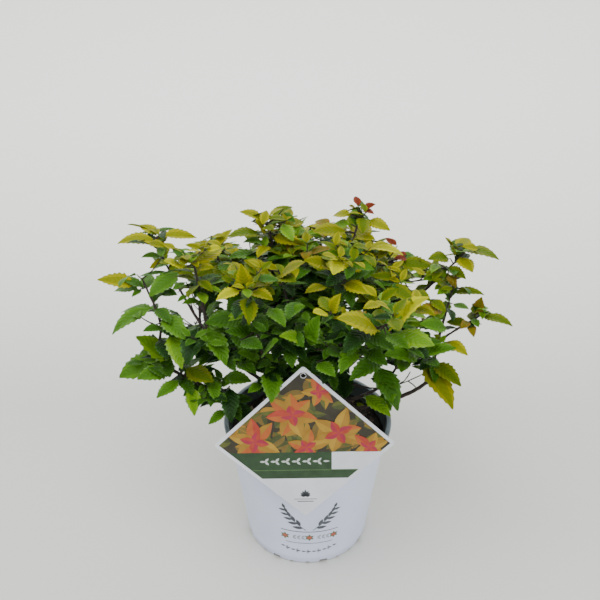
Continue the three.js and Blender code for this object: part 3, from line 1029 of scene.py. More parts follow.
def makeBoughs():
    stemFoot = mix["level"] + 0.3
    chains = []
    for (low, wide), (high, narrow) in zip(limb["stemTaper"], limb["stemTaper"][1:]):
        line = [up * (stemFoot + limb["stemHeight"] * lerp(low, high, k / 6)) for k in range(7)]
        chains.append((line, limb["stemFoot"] * wide, limb["stemFoot"] * narrow))
    for name, line in boughLines.items():
        share = limb["sideShare"] if name in forks else 1
        chains.append((line, limb["boughFoot"] * share, limb["boughTip"]))
    piece = buildWith("stem_and_boughs", chainMesh("limbLines", chains), growLimbs, limbSockets, {
        "Sides": limb["sides"], "Ring Spacing": limb["ringSpacing"] * mm,
        "Relief": limb["relief"] * mm, "Relief Scale": limb["reliefScale"]})
    piece.data.shade_smooth()
    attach(piece, "root")
    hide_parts("stem_base", *["bough_" + name for name in boughs])


makeBoughs()
print("boughs are made")


# upper face near the margin, upper face near the midrib, underside
tones = {
    "sun": ((176, 174, 1), (152, 156, 1), (150, 160, 34)),
    "gold": ((141, 138, 1), (116, 121, 1), (132, 140, 30)),
    "straw": ((122, 120, 8), (98, 106, 3), (124, 130, 38)),
    "olive": ((94, 104, 2), (74, 94, 1), (104, 122, 34)),
    "bronze": ((118, 94, 24), (100, 94, 14), (112, 110, 44)),
    "red": ((122, 48, 22), (104, 40, 18), (108, 62, 40)),
    "lime": ((102, 139, 8), (84, 124, 5), (110, 142, 70)),
    "leaf": ((72, 114, 15), (60, 101, 9), (94, 128, 64)),
    "green": ((54, 93, 11), (44, 82, 7), (78, 112, 56)),
    # deep is the darkest green: partly the older leaves' own colour, partly painted shade for leaves inside
    # the crown
    "deep": ((24, 56, 6), (16, 46, 3), (54, 88, 42)),
    "dead": ((105, 84, 45), (95, 73, 41), (100, 82, 52)),
}
toneNames = list(tones)
greens = ("lime", "leaf", "green", "deep")
# tones of a spray's youngest leaves, its ring, and the leaves below; the deep tone among the lower leaves is
# partly their own dark green and partly painted shade of the crown's interior
sprayTones = {
    "sun": (["sun", "gold"], ["sun", "gold", "straw"], ["olive", "lime", "green"]),
    "gold": (["gold", "straw"], ["gold", "straw", "gold", "olive"], ["olive", "lime", "green", "deep"]),
    "olive": (["straw", "olive"], ["olive", "bronze", "lime"], ["lime", "leaf", "green", "deep"]),
    "lime": (["gold", "olive"], ["lime", "leaf", "olive"], ["leaf", "green", "deep"]),
    "green": (["lime", "leaf"], ["leaf", "green"], ["green", "deep", "deep"]),
}
leafForm = {
    "teeth": 8, "halfWidth": 0.275, "stalk": 0.1, "thick": 0.011, "pleat": (0.017, 0.003),
    "toothDepth": 0.1, "fineSteps": 60, "bendStart": 0.35, "toothPlace": 0.78,
    # roughness of margin, midrib and underside; specular of greens and of the rest
    "gloss": [(0.36, 0.52), (0.36, 0.52), (0.55, 0.75)], "specular": (0.14, 0.07),
    "relief": 0.7, "veins": (1.9, 1.0),
    "outline": [(0, 0.06), (0.08, 0.3), (0.2, 0.74), (0.34, 1.0), (0.5, 0.96), (0.66, 0.78),
                (0.8, 0.54), (0.92, 0.25), (1, 0.0)],
    # droop of the tip, fold of the halves, twist (degrees), sideways bend, width
    "variants": [(22, 6, 0, 0.02, 1.0), (34, 10, 8, -0.04, 0.95), (12, 4, -6, 0.03, 1.05),
                 (44, 9, 14, 0.06, 0.92), (28, 14, -12, -0.06, 0.9), (6, 8, 5, 0.0, 1.0),
                 (50, 6, -8, 0.04, 1.0), (18, 20, 4, -0.02, 0.88)],
}


def makeLeafShape(index):
    droop, fold, twist, side, width = leafForm["variants"][index]
    teeth = leafForm["teeth"]
    fine = leafForm["fineSteps"]
    spine = []
    y = 0.0
    z = 0.0

    def pitchAt(t):
        return math.radians(droop * (leafForm["bendStart"] - t))

    for k in range(fine + 1):
        spine.append((y, z))
        a = pitchAt(k / fine)
        y += math.cos(a) / fine
        z += math.sin(a) / fine

    def frameAt(t):
        a = pitchAt(t)
        ahead = Vector((0, math.cos(a), math.sin(a)))
        roll = Matrix.Rotation(math.radians(twist * t), 3, ahead)
        face = roll @ Vector((0, -math.sin(a), math.cos(a)))
        return Vector((side * math.sin(t * 2.4) * t, *spine[min(int(t * fine), fine)])), ahead, face

    def blade(t, across, lift=0.0):
        place, ahead, face = frameAt(t)
        right = ahead.cross(face)
        f = math.radians(fold)
        return place + right * across * math.cos(f) + face * (abs(across) * math.sin(f) + lift)

    points = []
    alongs = []
    outs = []
    faces = []
    zones = []

    def put(p, along=0.0, out=0.0):
        points.append(p)
        alongs.append(along)
        outs.append(out)
        return len(points) - 1

    def halfWidthAt(t):
        return leafForm["halfWidth"] * width * ramp(leafForm["outline"], t)

    spans = [i / teeth for i in range(teeth + 1)]
    ribs = [put(blade(t, 0), t) for t in spans[:-1]]
    unders = [put(blade(t, 0, -leafForm["thick"]), t) for t in spans[:-1]]
    tip = put(blade(1, 0), 1.0)
    for sign in (-1, 1):
        halves = []
        notches = []
        toothTips = []
        for i, t in enumerate(spans[:-1]):
            w = sign * halfWidthAt(t)
            ease = min(1, 4 * t)
            late = lerp(t, spans[i + 1], leafForm["toothPlace"])
            halves.append(put(blade(t, w * 0.5, leafForm["pleat"][i % 2] * ease), t, 0.5))
            notches.append(put(blade(t, w * (1 - leafForm["toothDepth"] * ease)), t, 1.0))
            toothTips.append(put(blade(late, sign * (halfWidthAt(late) * 1.05 + 0.012), -0.008), late, 1.0))
        for i in range(teeth):
            rib, half, notch, under = [tip if i == teeth - 1 else row[i + 1]
                                       for row in (ribs, halves, notches, unders)]
            inner = [ribs[i], rib, half, halves[i]]
            outer = [halves[i], half, notch, toothTips[i], notches[i]]
            below = [unders[i], notches[i], toothTips[i], notch, under]
            for loop, zone in ((inner, 1), (outer, 0), (below, 2)):
                loop = list(dict.fromkeys(loop))
                faces.append(loop if sign < 0 else loop[::-1])
                zones.append(zone)
        cap = [ribs[0], halves[0], notches[0], unders[0]]
        faces.append(cap if sign < 0 else cap[::-1])
        zones.append(2)
    stalk = []
    for y, z, r in ((-leafForm["stalk"], -0.02, 0.014), (0.03, -0.002, 0.011)):
        for k in range(3):
            a = math.radians(90 + 120 * k)
            stalk.append(put(Vector((r * math.cos(a), y, z + r * math.sin(a)))))
    a, b, c, d, e, f = stalk
    faces += [[a, b, e, d], [b, c, f, e], [c, a, d, f], [c, b, a], [d, e, f]]
    zones += [1] * 5
    mesh = bpy.data.meshes.new(f"leafShape{index}")
    mesh.from_pydata(points, [], faces)
    mesh.update()
    setValues(mesh, "zone", "INT", "FACE", "value", zones)
    setValues(mesh, "along", "FLOAT", "POINT", "value", alongs)
    setValues(mesh, "out", "FLOAT", "POINT", "value", outs)
    smooth(mesh, 50)
    return bpy.data.objects.new(mesh.name, mesh)


leafShapes = bpy.data.collections.new("leafShapes")
for index in range(len(leafForm["variants"])):
    leafShapes.objects.link(makeLeafShape(index))
leafCoats = []
for toneIndex, (toneName, colours) in enumerate(tones.items()):
    for zone, (part, colour) in enumerate(zip(("Edge", "Middle", "Under"), colours)):
        leafCoats.append((toneIndex * zonesPerTone + zone, makeSurface(
            f"leaf{toneName.capitalize()}{part}", colour, leafForm["gloss"][zone], grain=500,
            relief=leafForm["relief"], reliefScale=900, veins=(leafForm["teeth"], *leafForm["veins"]),
            specular=leafForm["specular"][toneName not in greens])))


def leafTree():
    tree, sockets, start = startTree("growLeaves", {
        "Shapes": "Collection", "Size": "Float", "Flutter": "Float", "Seed": "Int"})
    roll = addNode(tree, "FunctionNodeRandomValue", {
        2: mathNode(tree, "MULTIPLY", start["Flutter"], -1.0), 3: start["Flutter"],
        "Seed": start["Seed"]})
    flutter = addNode(tree, "FunctionNodeAxisAngleToRotation", {
        "Axis": (0, 1, 0), "Angle": roll.outputs[1]})
    euler = readAttribute(tree, "turn", "FLOAT_VECTOR")
    turn = addNode(tree, "FunctionNodeEulerToRotation", {0: euler})
    turn = addNode(tree, "FunctionNodeRotateRotation", {
        "Rotation": turn.outputs[0], "Rotate By": flutter.outputs[0]}, rotation_space="LOCAL")
    size = mathNode(tree, "MULTIPLY", readAttribute(tree, "size", "FLOAT"), start["Size"])
    leaves = placeShapes(tree, start["Geometry"], start["Shapes"], turn.outputs[0], size,
                         {"Instance Index": readAttribute(tree, "variant", "INT")})
    endTree(tree, leaves, leafCoats)
    return tree, sockets


# the branching rule: levels are in half heights, turns, leans and lifts in degrees, "From" and
# "Start" are shares of the shoot, the other pairs are least and most
spray = {
    "seed": 21, "lean": 20.0, "levels": (-1.4, 0.5), "nodes": 13, "turn": 137.5, "outward": 0.25,
    "length": [(0, 0.92), (0.45, 1.0), (0.7, 0.92), (1, 0.58)], "lengthVary": (0.86, 1.08),
    "leastLength": 32.0, "lift": [(0, -16), (0.4, 0), (0.7, 12), (1, 30)], "liftVary": 8,
    "middleFrom": 0.4, "youngFrom": 0.8,
    "sideShoots": 3, "sideFrom": (0.35, 0.75), "sideReach": (0.4, 0.66), "sideLeaves": 5,
    "sideStart": 0.45, "sideLeaf": (0.6, 0.86), "sideLift": (-6, 30), "narrow": 30,
    "sideScatter": (-30, 30), "sideRise": (8, 40),
    "leadGap": 50.0, "behindLead": 0.82, "leadTop": 0.25, "twigGap": 3.0, "leadLean": 0.45,
    "riseCost": 1.5, "throughGain": 60,
    "boughLeafStep": 15.0, "boughLeafStart": 0.34, "boughLeaf": (24, 38), "boughLeafShare": 0.6,
    "boughLift": (8, 12),   # mean and spread
    # the deep share of the bough leaves is partly painted shade, as these leaves sit inside the crown
    "boughTones": ("leaf", "green", "green", "deep"), "flutter": 5.0,
}
# leaves the rule grows where the crown is open, by their order in the spray
pruned = {
    "left_high": (0, 2, 6, 10, 14, 18, 19, 20),
    "left_bright": (4, 16, 18, 22, 25, 33, 37, 38, 41, 42, 43),
    "left_tip": (1, 2, 6, 8, *range(11, 23), 24, 25, 26),
    "left_mid": (1, 4, 5, 6, 7, 8, 10, 13, 14, 15), "left_low": (1, 4, 6, 16, 21),
    "left_inner": (4, 42, 44), "left_foot": (2, 6, 8, 10, 11, 13, 16, 23, 25, 28, 29, 35, 36, 42),
    "upper_left": (10, 13, 16, 17, 21, 23, 26, 27, 28, 33),
    "top_left": (13, 16, 18, 19, 21, 22, 23, 25, 27, 28, 30, 33),
    "top_right": (11, 12, 13, 15, 16, 17, 18, 20, 21, 22, 23, 25, 27, 30, 31, 32, 33), "top_mid": (16,),
    "centre_left": (22,), "right_gold": (1, 3, 6, 10, 12, 20, 26, 28), "low_left": (6, 58, 61),
    "low_right": (0, 1, 2, 4, 5, 7, 13), "right_high": (0, 3, 9, 11, 14, 15, 17, *range(19, 28)),
    "right_inner": (0, 2, 3, 5, 8), "right_mid": (1, 4, 7, 8, 15, 21, 24, 28, 29, 30),
    "right_tip": (1, 2, 3, 5, 6, 8, 9, 11, 14, 16, 18, 20, 21, 22, 23, 25, 26, 27, 28, 29, 31, 32, 33,
        35, 36, 37, 38, 39, 41, 43, 44, 46, 47), "right_bronze": (0, 3), "right_low": (2, 4, 7),
    "right_foot": (*range(0, 7),), "rim_right": (0, 1, 3, 5, 6, 8, 10, 11, 12, 13, 15, 17, 20),
    "back_high": (18, *range(22, 66)), "back_far": (20, 29, 35, 37, 38, 39, 40, 51),
    "back_left": (4, 29, 32, 34, 35, 36, 37, 42, 45, 47, 49, 50, 52, 53, 54, 55, 58, 59, 60, 63, 65),
    "back_right": (32, 44, 49, 52, 53, 54, 55, 56, 58, 59, 60, 63),
    "side_low_left": (15, 18, *range(20, 26), 27, 30, 31, 32, 34, 37, 39, 40, 42, 44, 46, 49, 50, 53),
    "fill_high_left": (54,), "fill_high_right": (17, 47), "fill_left": (55,),
    "fill_right": (36, 39, 40),
    "fill_low_left": (14, 19, 22, 25, 27, 30, 31, 33, 34, 35, 39, 43, 56, 59, 61, 62, 63, 65),
    "fill_low_right": (19, 24, 48), "fill_far_left": (15, 20, 23, 24, 26, 29),
    "bough_left_high": (1, 3), "bough_left_tip": (1, 5, 6, 7, 8), "bough_left_bright": (0,),
    "bough_right_high": (5,), "bough_right_tip": (1, 4, 5, 6), "bough_right_mid": (1,),
    "bough_back_left": (3, 4, 6), "bough_low_right": (1, 2),
}
# leading leaves of each spray: foot from the mass's centre (x, y, z), bearing, lift, length, tone
leadLeaves = {
    "left_high": [(3, 5, 8, 131, 5, 36, "gold"), (3, 3, 5, -163, 5, 44, "gold"),
        (5, 5, 9, 20, -11, 42, "gold"), (8, 2, 3, -77, -1, 34, "olive"),
        (8, -6, -10, -151, 13, 24, "leaf"), (12, -8, -14, -137, 0, 22, "gold")],
    "left_bright": [(-6, -1, -2, 46, 5, 46, "gold"), (-7, -1, -2, 105, -1, 34, "sun"),
        (-9, -2, -3, -130, 34, 30, "sun"), (-4, -1, -2, 69, -2, 36, "gold")],
    "left_tip": [(-5, -1, -2, -163, 19, 44, "gold"), (-4, -3, -6, 162, -12, 36, "leaf"),
        (-2, -3, -6, -126, -4, 16, "leaf"), (3, -4, -7, 97, 6, 34, "leaf"),
        (38, 7, 11, -131, -15, 46, "leaf"), (15, -4, -7, -32, 7, 26, "green")],
    "left_mid": [(2, 9, 15, -148, -19, 52, "leaf"), (11, 5, 9, -53, -9, 46, "leaf"),
        (21, -3, -4, -73, -28, 48, "lime"), (12, -3, -4, -135, 20, 26, "green")],
    "left_low": [(21, 0, -1, -168, 46, 50, "lime"), (14, 1, 2, -159, -12, 55, "leaf"),
        (21, -5, -9, -143, 10, 42, "leaf"), (14, 8, 13, -32, 30, 26, "lime")],
    "left_foot": [(-25, 7, 13, -131, -10, 34, "leaf"), (-13, 4, 6, -82, -16, 38, "lime"),
        (-2, 0, 0, -42, 7, 28, "green"), (9, 7, 12, -78, -10, 30, "leaf"),
        (0, 5, 8, -112, -9, 14, "leaf"), (26, 4, 6, -82, -25, 42, "deep"),
        (24, -9, -15, -141, -11, 26, "leaf"), (-21, 13, 23, -38, 2, 42, "olive"),
        (17, 8, 14, -25, 10, 36, "leaf"), (-15, 14, 24, 136, 29, 30, "leaf")],
    "left_inner": [(0, 9, 16, -63, -29, 50, "leaf"), (-10, 8, 14, -100, -26, 44, "deep"),
        (39, 12, 21, -146, 12, 46, "green"), (-6, 21, 36, -143, 13, 22, "leaf"),
        (-21, 30, 53, -132, -5, 18, "leaf"), (-19, 24, 41, -136, -6, 14, "leaf"),
        (0, 25, 43, -142, 22, 26, "green"), (25, 6, 11, -59, -13, 36, "green")],
    "upper_left": [(0, 3, 4, 51, 27, 32, "gold"), (-2, 4, 7, 151, -11, 30, "straw"),
        (6, 4, 7, -34, 22, 18, "straw"), (11, 2, 4, 45, -12, 26, "leaf"),
        (6, -4, -8, -131, -5, 36, "olive"), (8, -4, -8, -94, -2, 34, "olive"),
        (50, -1, -2, -154, 11, 40, "leaf"), (0, -4, -8, 139, -24, 20, "leaf")],
    "top_left": [(-2, 3, 5, -155, 35, 36, "gold"), (2, 5, 9, 49, 4, 36, "olive"),
        (-6, -3, -6, -148, 15, 44, "olive"), (-2, -3, -5, -131, 52, 26, "gold"),
        (0, -2, -4, -47, 53, 18, "gold"), (3, -4, -8, -34, 6, 40, "gold"),
        (0, -9, -16, -109, 3, 30, "gold"), (-3, -8, -14, -148, 19, 28, "leaf"),
        (2, -10, -18, -21, 3, 40, "olive"), (15, 1, 2, 43, -10, 34, "straw"),
        (15, 2, 4, 128, 1, 26, "olive"), (17, 0, 0, 25, -22, 34, "lime")],
    "centre_left": [(-5, 0, 0, 106, 18, 42, "straw"), (-3, -1, -2, -95, 73, 36, "gold"),
        (-7, 0, 0, -133, 6, 32, "sun"), (1, -1, -1, -48, 9, 34, "straw"),
        (-1, -3, -5, -87, -8, 40, "olive"), (-5, 1, 1, 69, 0, 24, "gold")],
    "centre_top": [(-7, -3, -4, -152, 46, 40, "straw"), (-2, -3, -4, -33, 42, 42, "straw"),
        (-9, 1, 2, -103, -4, 36, "olive"), (-3, -1, -2, -54, 13, 34, "olive")],
    "centre_small": [(-4, -3, -6, 107, 10, 28, "olive"), (-3, -4, -7, -54, 71, 28, "gold"),
        (-6, -3, -6, -130, 26, 24, "sun"), (-2, -3, -6, 60, -9, 22, "olive")],
    "front_gold": [(-20, -1, -1, -146, 34, 36, "straw"), (-6, 5, 9, -107, 0, 40, "sun"),
        (-8, -9, -15, -41, 9, 36, "gold"), (-22, -10, -17, -141, 10, 30, "straw"),
        (-14, -2, -3, 120, -8, 26, "gold"), (1, 2, 4, -46, 11, 32, "leaf")],
    "top_right": [(0, 8, 14, 97, 20, 18, "red"), (3, 7, 12, -28, 30, 18, "red"),
        (-2, 7, 12, -135, 31, 14, "bronze"), (4, 6, 10, -49, 13, 18, "red"),
        (-6, 4, 6, 143, -15, 30, "gold"), (-7, -10, -17, 61, 0, 46, "gold"),
        (6, 0, 1, -39, 4, 34, "gold"), (-29, -2, -4, 127, -4, 28, "bronze"),
        (-11, -5, -8, -152, 12, 44, "straw"), (-8, -1, -2, 139, -21, 30, "lime"),
        (-6, -13, -22, -143, 27, 34, "olive"), (-3, -7, -13, -46, 13, 28, "gold")],
    "top_side": [(-27, 4, 7, -30, 3, 48, "sun"), (11, -5, -8, -33, 9, 40, "olive"),
        (11, -13, -23, 115, 5, 36, "gold"), (33, -12, -21, -148, 14, 44, "olive"),
        (11, 4, 7, 132, 11, 18, "red"), (21, -1, -2, 132, -7, 16, "red"),
        (22, -3, -5, -148, 20, 20, "red"), (13, -2, -4, 36, -21, 34, "leaf"),
        (-13, -5, -8, -116, -6, 32, "leaf")],
    "right_gold": [(-19, -7, -13, -45, 2, 42, "olive"), (-40, -10, -18, -70, -1, 30, "olive"),
        (9, -10, -18, -51, 8, 28, "olive"), (-15, -10, -18, -134, 42, 32, "leaf"),
        (-7, -5, -9, 42, -23, 36, "lime")],
    "front_right": [(-2, -3, -6, -29, 52, 56, "sun"), (-9, -4, -6, -151, 32, 54, "gold"),
        (-15, -1, -2, 136, -6, 46, "bronze"), (1, -5, -8, -43, 11, 48, "lime"),
        (-4, -5, -9, -65, 11, 38, "leaf"), (-6, -1, -2, 97, 1, 32, "olive")],
    "right_high": [(-9, -1, -2, -138, 57, 34, "gold"), (-7, 2, 4, 59, 2, 34, "gold"),
        (-3, 2, 4, -33, 7, 44, "olive"), (-5, -1, -2, -74, -1, 34, "gold"),
        (-14, -2, -4, -144, 19, 34, "olive"), (-18, -6, -11, -53, -6, 28, "olive"),
        (-16, -10, -18, -77, -5, 24, "bronze"), (-25, -5, -9, -121, 5, 24, "lime"),
        (-23, -7, -13, -116, -5, 24, "olive")],
    "right_mid": [(0, 1, 1, -31, 13, 36, "olive"), (-3, 2, 4, -142, 42, 30, "olive"),
        (-2, 3, 5, -128, 12, 26, "lime"), (0, -5, -9, -135, 43, 16, "leaf"),
        (1, -5, -9, -48, 9, 22, "leaf")],
    "right_tip": [(-5, 0, 0, -71, 76, 26, "bronze"), (-7, -1, -2, -111, 64, 20, "olive"),
        (0, 0, 0, -44, 6, 38, "olive"), (-11, -3, -5, -128, 7, 22, "bronze"),
        (-12, -4, -7, -82, -5, 22, "bronze"), (-8, -1, -2, -80, -2, 18, "leaf")],
    "right_bronze": [(13, 4, 6, -147, 14, 40, "bronze"), (17, -6, -11, -152, 29, 42, "leaf"),
        (14, -6, -11, 151, -10, 46, "green"), (-2, 9, 15, -57, 2, 26, "olive")],
    "right_inner": [(5, -3, -6, -126, 3, 24, "olive"), (-3, -8, -13, -131, 4, 28, "olive"),
        (11, -7, -11, -61, 3, 22, "lime")],
    "right_low": [(-2, 1, 1, -147, 57, 18, "olive"), (0, 2, 4, -48, 4, 34, "gold"),
        (-2, 0, -1, 39, -25, 28, "leaf")],
    "low_right": [(14, -3, -6, -149, 25, 48, "leaf"), (10, -2, -4, -23, 26, 44, "leaf"),
        (5, -3, -6, -124, 69, 20, "lime"), (-8, -1, -1, 142, -2, 44, "green"),
        (-1, -4, -6, -104, 5, 30, "leaf"), (16, -4, -6, -61, 15, 30, "green")],
    "right_foot": [(-15, 10, 18, -58, -28, 62, "straw"), (-4, 10, 17, -53, -9, 44, "olive")],
    "rim_right": [(-14, 11, 19, -61, -23, 58, "green"), (-6, -3, -5, -69, -15, 26, "leaf"),
        (-24, -5, -8, -49, -11, 38, "lime")],
    "low_mid": [(15, 4, 6, -112, -9, 42, "leaf"), (-24, -5, -9, -59, 6, 32, "leaf"),
        (-31, 2, 3, -44, 73, 42, "leaf"), (42, -3, -5, -137, -1, 50, "green"),
        (-18, 3, 5, -40, 41, 38, "green"), (4, 0, 0, -128, 24, 34, "green"),
        (23, 1, 1, -55, 7, 34, "green")],
    "low_left": [(10, 0, -1, -90, -9, 46, "leaf"), (-2, 4, 6, -138, 38, 34, "leaf"),
        (1, -8, -15, -127, 12, 24, "leaf"), (-9, 1, 1, -44, 30, 32, "green"),
        (-25, 3, 4, -54, 9, 34, "green")],
    "centre_green": [(-24, -3, -5, 93, 21, 44, "leaf"), (-20, 11, 18, -65, -2, 36, "leaf"),
        (-7, 5, 9, -40, 41, 38, "leaf"), (15, -6, -10, -141, 35, 36, "lime"),
        (-27, -13, -22, -50, 51, 42, "leaf"), (0, 0, -1, -65, 0, 32, "green"),
        (10, 14, 24, -110, -2, 34, "green"), (-47, -5, -9, -49, 15, 36, "green")],
}
# a twig that lost its leaves, with its stubs, and leaves that fell on the mix: place, bearing,
# length, tone
bareTwigs = [
    [(44, -14, 212), (70, -25, 216), (97, -30, 225), (118, -38, 242)],
    [(98, -30, 226), (103, -31, 231), (108, -30, 241)],
    [(106, -33, 231), (110, -35, 229), (114, -37, 226)],
]
fallenLeaves = [(66, 32, 110, 17, "olive"), (-56, 36, 220, 20, "dead"), (24, 64, 260, 18, "dead"),
                (52, -52, 210, 15, "dead"), (-62, -20, 80, 16, "dead")]
twigs = []
slotFloors = {"leaves_gold": 340, "leaves_lime": 290, "leaves_green": 0}   # mm
leafSets = {slot: [] for slot in slotFloors}


def slotAt(height):
    return next(slot for slot, floor in slotFloors.items() if height > floor)


def addLeaf(leaves, place, ahead, length, tone, rng, lean=Vector((0, 0, 0)), wobble=14):
    # upper face to the light, leaning as told
    ahead = ahead.normalized()
    face = up + lean
    face = face - ahead * face.dot(ahead)
    face = face.normalized() if face.length > 0.05 else Vector((1, 0, 0))
    face = Matrix.Rotation(math.radians(rng.gauss(0, wobble)), 3, ahead) @ face
    across = ahead.cross(face)
    turn = Matrix((across, ahead, face)).transposed().to_euler()
    shape = rng.randrange(len(leafForm["variants"]))
    blade = length * mm / (1 + leafForm["stalk"])
    foot = place + ahead * length * leafForm["stalk"] * 0.9
    leaves.append((foot * mm, turn, blade, shape, toneNames.index(tone)))


def anchorOf(name):
    # where a mass's shoot leaves the limbs, and the limb's direction there
    centre = massCentre(name)
    if name in boughs:
        return centre, pointAlong(boughLines[name], 0.99)[1]
    found = []
    for bough, line in boughLines.items():
        for k in range(12, 100, 2):
            place, ahead = pointAlong(line, k / 100)
            cost = (centre - place).length + spray["riseCost"] * max(0, place.z - centre.z + 8)
            if name in boughs[bough][1]:
                cost -= spray["throughGain"]
            found.append((cost, place, ahead))
    return min(found, key=lambda row: row[0])[1:]


def growLead(name, leaves, stems, rng):
    # the leading leaves, each on a short twig where its foot stands off the stems
    lean = Vector((0, -1, 0)) * spray["leadLean"]
    for dx, dy, dz, turn, lift, length, tone in leadLeaves.get(name, []):
        foot = massCentre(name) + Vector((dx, dy, dz))
        near = min(stems, key=lambda p: (p - foot).length + 0.6 * max(0, p.z - foot.z))
        gap = (foot - near).length
        if gap > spray["twigGap"]:
            bend = near.lerp(foot, 0.5) - up * gap * 0.08
            twigFoot = limb["twigTip"] * limb["sideTwig"][0]
            twigs.append((smoothLine([near, bend, foot], 4), twigFoot, limb["twigTip"]))
        addLeaf(leaves, foot, bearing(turn, lift), length, tone, rng, lean, 6)


def besideLead(name, turn):
    # whether a leading leaf already points this way
    gaps = [abs((turn - lead[3] + 180) % 360 - 180) for lead in leadLeaves.get(name, [])]
    return bool(gaps) and min(gaps) < spray["leadGap"]


def growSpray(name):
    azimuth, _, height, spread, half, tone, full, seed = places[name]
    rng = random.Random(seed)
    young, middle, old = sprayTones[tone]
    led = name in leadLeaves
    cut = pruned.get(name, ())
    leaves = []
    centre = massCentre(name)
    size = max(spread, spray["leastLength"]) * (spray["behindLead"] if led else 1)
    low, high = spray["levels"]
    high = spray["leadTop"] if led else high
    outward = bearing(azimuth) * spray["outward"]
    axis = bearing(azimuth, 90 - spray["lean"])
    start, ahead = anchorOf(name)
    top = centre + axis * half * high
    distance = (centre - start).length
    if distance > half * 1.2:
        stops = [start, start + (ahead + up * 0.3).normalized() * distance * 0.3,
                 centre - axis * half * 0.8, centre, top]
    elif distance > 1:
        stops = [start, centre, top]
    else:
        stops = [centre, centre + (ahead * 0.4 + axis).normalized() * half * 0.3, top]
    leader = smoothLine(stops, 8)
    turn = rng.uniform(0, 360)
    topLevel = low * half
    nodes = round(spray["nodes"] * full)
    for k in range(nodes):
        u = k / (nodes - 1)
        level = lerp(low, high, u) * half
        place = centre + axis * level
        if level < 0 and len(leader) > 3:
            # below the centre the leaves stand on the shoot or the limb itself
            place = min(leader + boughNear(name), key=lambda p: abs((p - centre).dot(axis) - level)
                        + 0.2 * (p - centre).length)
        turn += spray["turn"]
        length = size * ramp(spray["length"], u) * rng.uniform(*spray["lengthVary"])
        lift = ramp(spray["lift"], u) * (0.5 if led else 1) + rng.gauss(0, spray["liftVary"])
        tier = young if u > spray["youngFrom"] else middle if u > spray["middleFrom"] else old
        if u > spray["middleFrom"] and besideLead(name, turn):
            continue
        if len(leaves) not in cut:
            topLevel = max(topLevel, level)
        addLeaf(leaves, place, bearing(turn, lift), length, rng.choice(tier), rng, outward)
    shoots = round(spray["sideShoots"] * full) if spread > spray["narrow"] else 1
    for k in range(shoots):
        root, _ = pointAlong(leader, rng.uniform(*spray["sideFrom"]))
        side = turn + k * 360 / shoots + rng.uniform(*spray["sideScatter"])
        way = bearing(side, rng.uniform(*spray["sideRise"]))
        far = spread * rng.uniform(*spray["sideReach"])
        line = smoothLine([root, root + way * far * 0.5, root + way * far + up * far * 0.2], 5)
        first = len(leaves)
        spin = rng.uniform(0, 360)
        for n in range(spray["sideLeaves"]):
            spin += spray["turn"]
            u = n / (spray["sideLeaves"] - 1)
            place, _ = pointAlong(line, lerp(spray["sideStart"], 1, u))
            length = size * rng.uniform(*spray["sideLeaf"]) * lerp(1, 0.7, u)
            lift = lerp(*spray["sideLift"], u) + rng.gauss(0, spray["liftVary"])
            tier = old if u < 0.5 else middle
            addLeaf(leaves, place, bearing(spin, lift), length, rng.choice(tier), rng, outward)
        kept = [i - first for i in range(first, len(leaves)) if i not in cut]
        if kept:
            share = lerp(spray["sideStart"], 1, kept[-1] / (spray["sideLeaves"] - 1))
            line = line[:math.ceil(share * (len(line) - 1)) + 1]
            twigs.append((line, *[limb["twigTip"] * part for part in limb["sideTwig"]]))
            topLevel = max(topLevel, (root - centre).dot(axis))
    # the leader stops at its last leaf or shoot
    leader = [p for i, p in enumerate(leader) if i < 3 or (p - centre).dot(axis) <= topLevel + 3]
    twigs.append((leader, limb["twigFoot"], limb["twigTip"]))
    leafSet = leafSets[slotAt(height)]
    growLead(name, leafSet, leader + boughNear(name), rng)
    leafSet += [leaf for i, leaf in enumerate(leaves) if i not in cut]


def boughNear(name):
    centre = massCentre(name)
    near = places[name][3] * 0.8
    return [p for line in boughLines.values() for p in line if (p - centre).length < near]


def growBough(name):
    # leaves along a bough itself, one by one in turn
    line = boughLines[name]
    rng = random.Random(boughs[name][2])
    leaves = []
    length = sum((b - a).length for a, b in zip(line, line[1:]))
    steps = int(length / spray["boughLeafStep"])
    turn = rng.uniform(0, 360)
    for k in range(steps):
        share = (k + 0.5) / steps
        turn += spray["turn"]
        if share < spray["boughLeafStart"] or rng.random() > spray["boughLeafShare"]:
            continue
        place, _ = pointAlong(line, share)
        ahead = bearing(turn, rng.gauss(*spray["boughLift"]))
        addLeaf(leaves, place, ahead, rng.uniform(*spray["boughLeaf"]), rng.choice(spray["boughTones"]), rng)
    for i, leaf in enumerate(leaves):
        if i not in pruned.get("bough_" + name, ()):
            leafSets[slotAt(leaf[0].z / mm)].append(leaf)


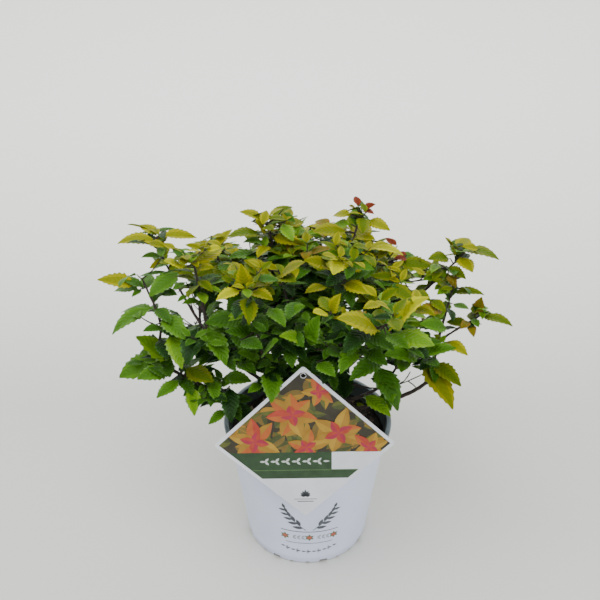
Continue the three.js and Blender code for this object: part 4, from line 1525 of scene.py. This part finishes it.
def growRemains():
    rng = random.Random(spray["seed"])
    for index, stops in enumerate(bareTwigs):
        stops = [Vector(p) for p in stops]
        foot = limb["twigFoot"] * 0.6
        if index == 0:
            foot = limb["twigFoot"]
            near = [p for line in boughLines.values() for p in line]
            stops.insert(0, min(near, key=lambda p: (p - stops[0]).length))
        twigs.append((smoothLine(stops, 6), foot, limb["twigTip"]))
    for x, y, turn, length, tone in fallenLeaves:
        place = Vector((x, y, mix["level"] + 1.6 + mixLift(x, y)))
        addLeaf(leafSets["leaves_green"], place, bearing(turn, 4), length, tone, rng, wobble=8)


def makeLeaves():
    tree, sockets = leafTree()
    growRemains()
    for name in places:
        growSpray(name)
    for name in boughs:
        growBough(name)
    for order, (slot, leaves) in enumerate(leafSets.items()):
        feet, turns, sizes, shapes, toneCodes = zip(*leaves)
        mesh = bpy.data.meshes.new(slot + "Points")
        mesh.from_pydata(feet, [], [])
        setValues(mesh, "turn", "FLOAT_VECTOR", "POINT", "vector", [x for turn in turns for x in turn])
        setValues(mesh, "size", "FLOAT", "POINT", "value", sizes)
        setValues(mesh, "variant", "INT", "POINT", "value", shapes)
        setValues(mesh, "tone", "INT", "POINT", "value", toneCodes)
        piece = buildWith(slot, mesh, tree, sockets, {
            "Shapes": leafShapes, "Size": 1.0, "Flutter": math.radians(spray["flutter"]),
            "Seed": spray["seed"] + order})
        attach(piece, "root")
        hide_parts(*["foliage_" + name for name in masses if slotAt(masses[name][2]) == slot])
        piece.data.calc_loop_triangles()
        print(slot, len(leaves), "leaves,", len(piece.data.loop_triangles), "triangles,",
              len(piece.data.materials), "finishes")


def makeTwigs():
    piece = buildWith("twigs", chainMesh("twigLines", twigs), growLimbs, limbSockets, {
        "Sides": limb["twigSides"], "Ring Spacing": limb["twigSpacing"] * mm,
        "Relief": limb["twigRelief"] * mm, "Relief Scale": limb["twigReliefScale"]})
    piece.data.shade_smooth()
    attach(piece, "root")


makeLeaves()
makeTwigs()
print("leaves and twigs are grown")

for name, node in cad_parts.items():
    if not node.hide_render:
        print("kept node:", name)
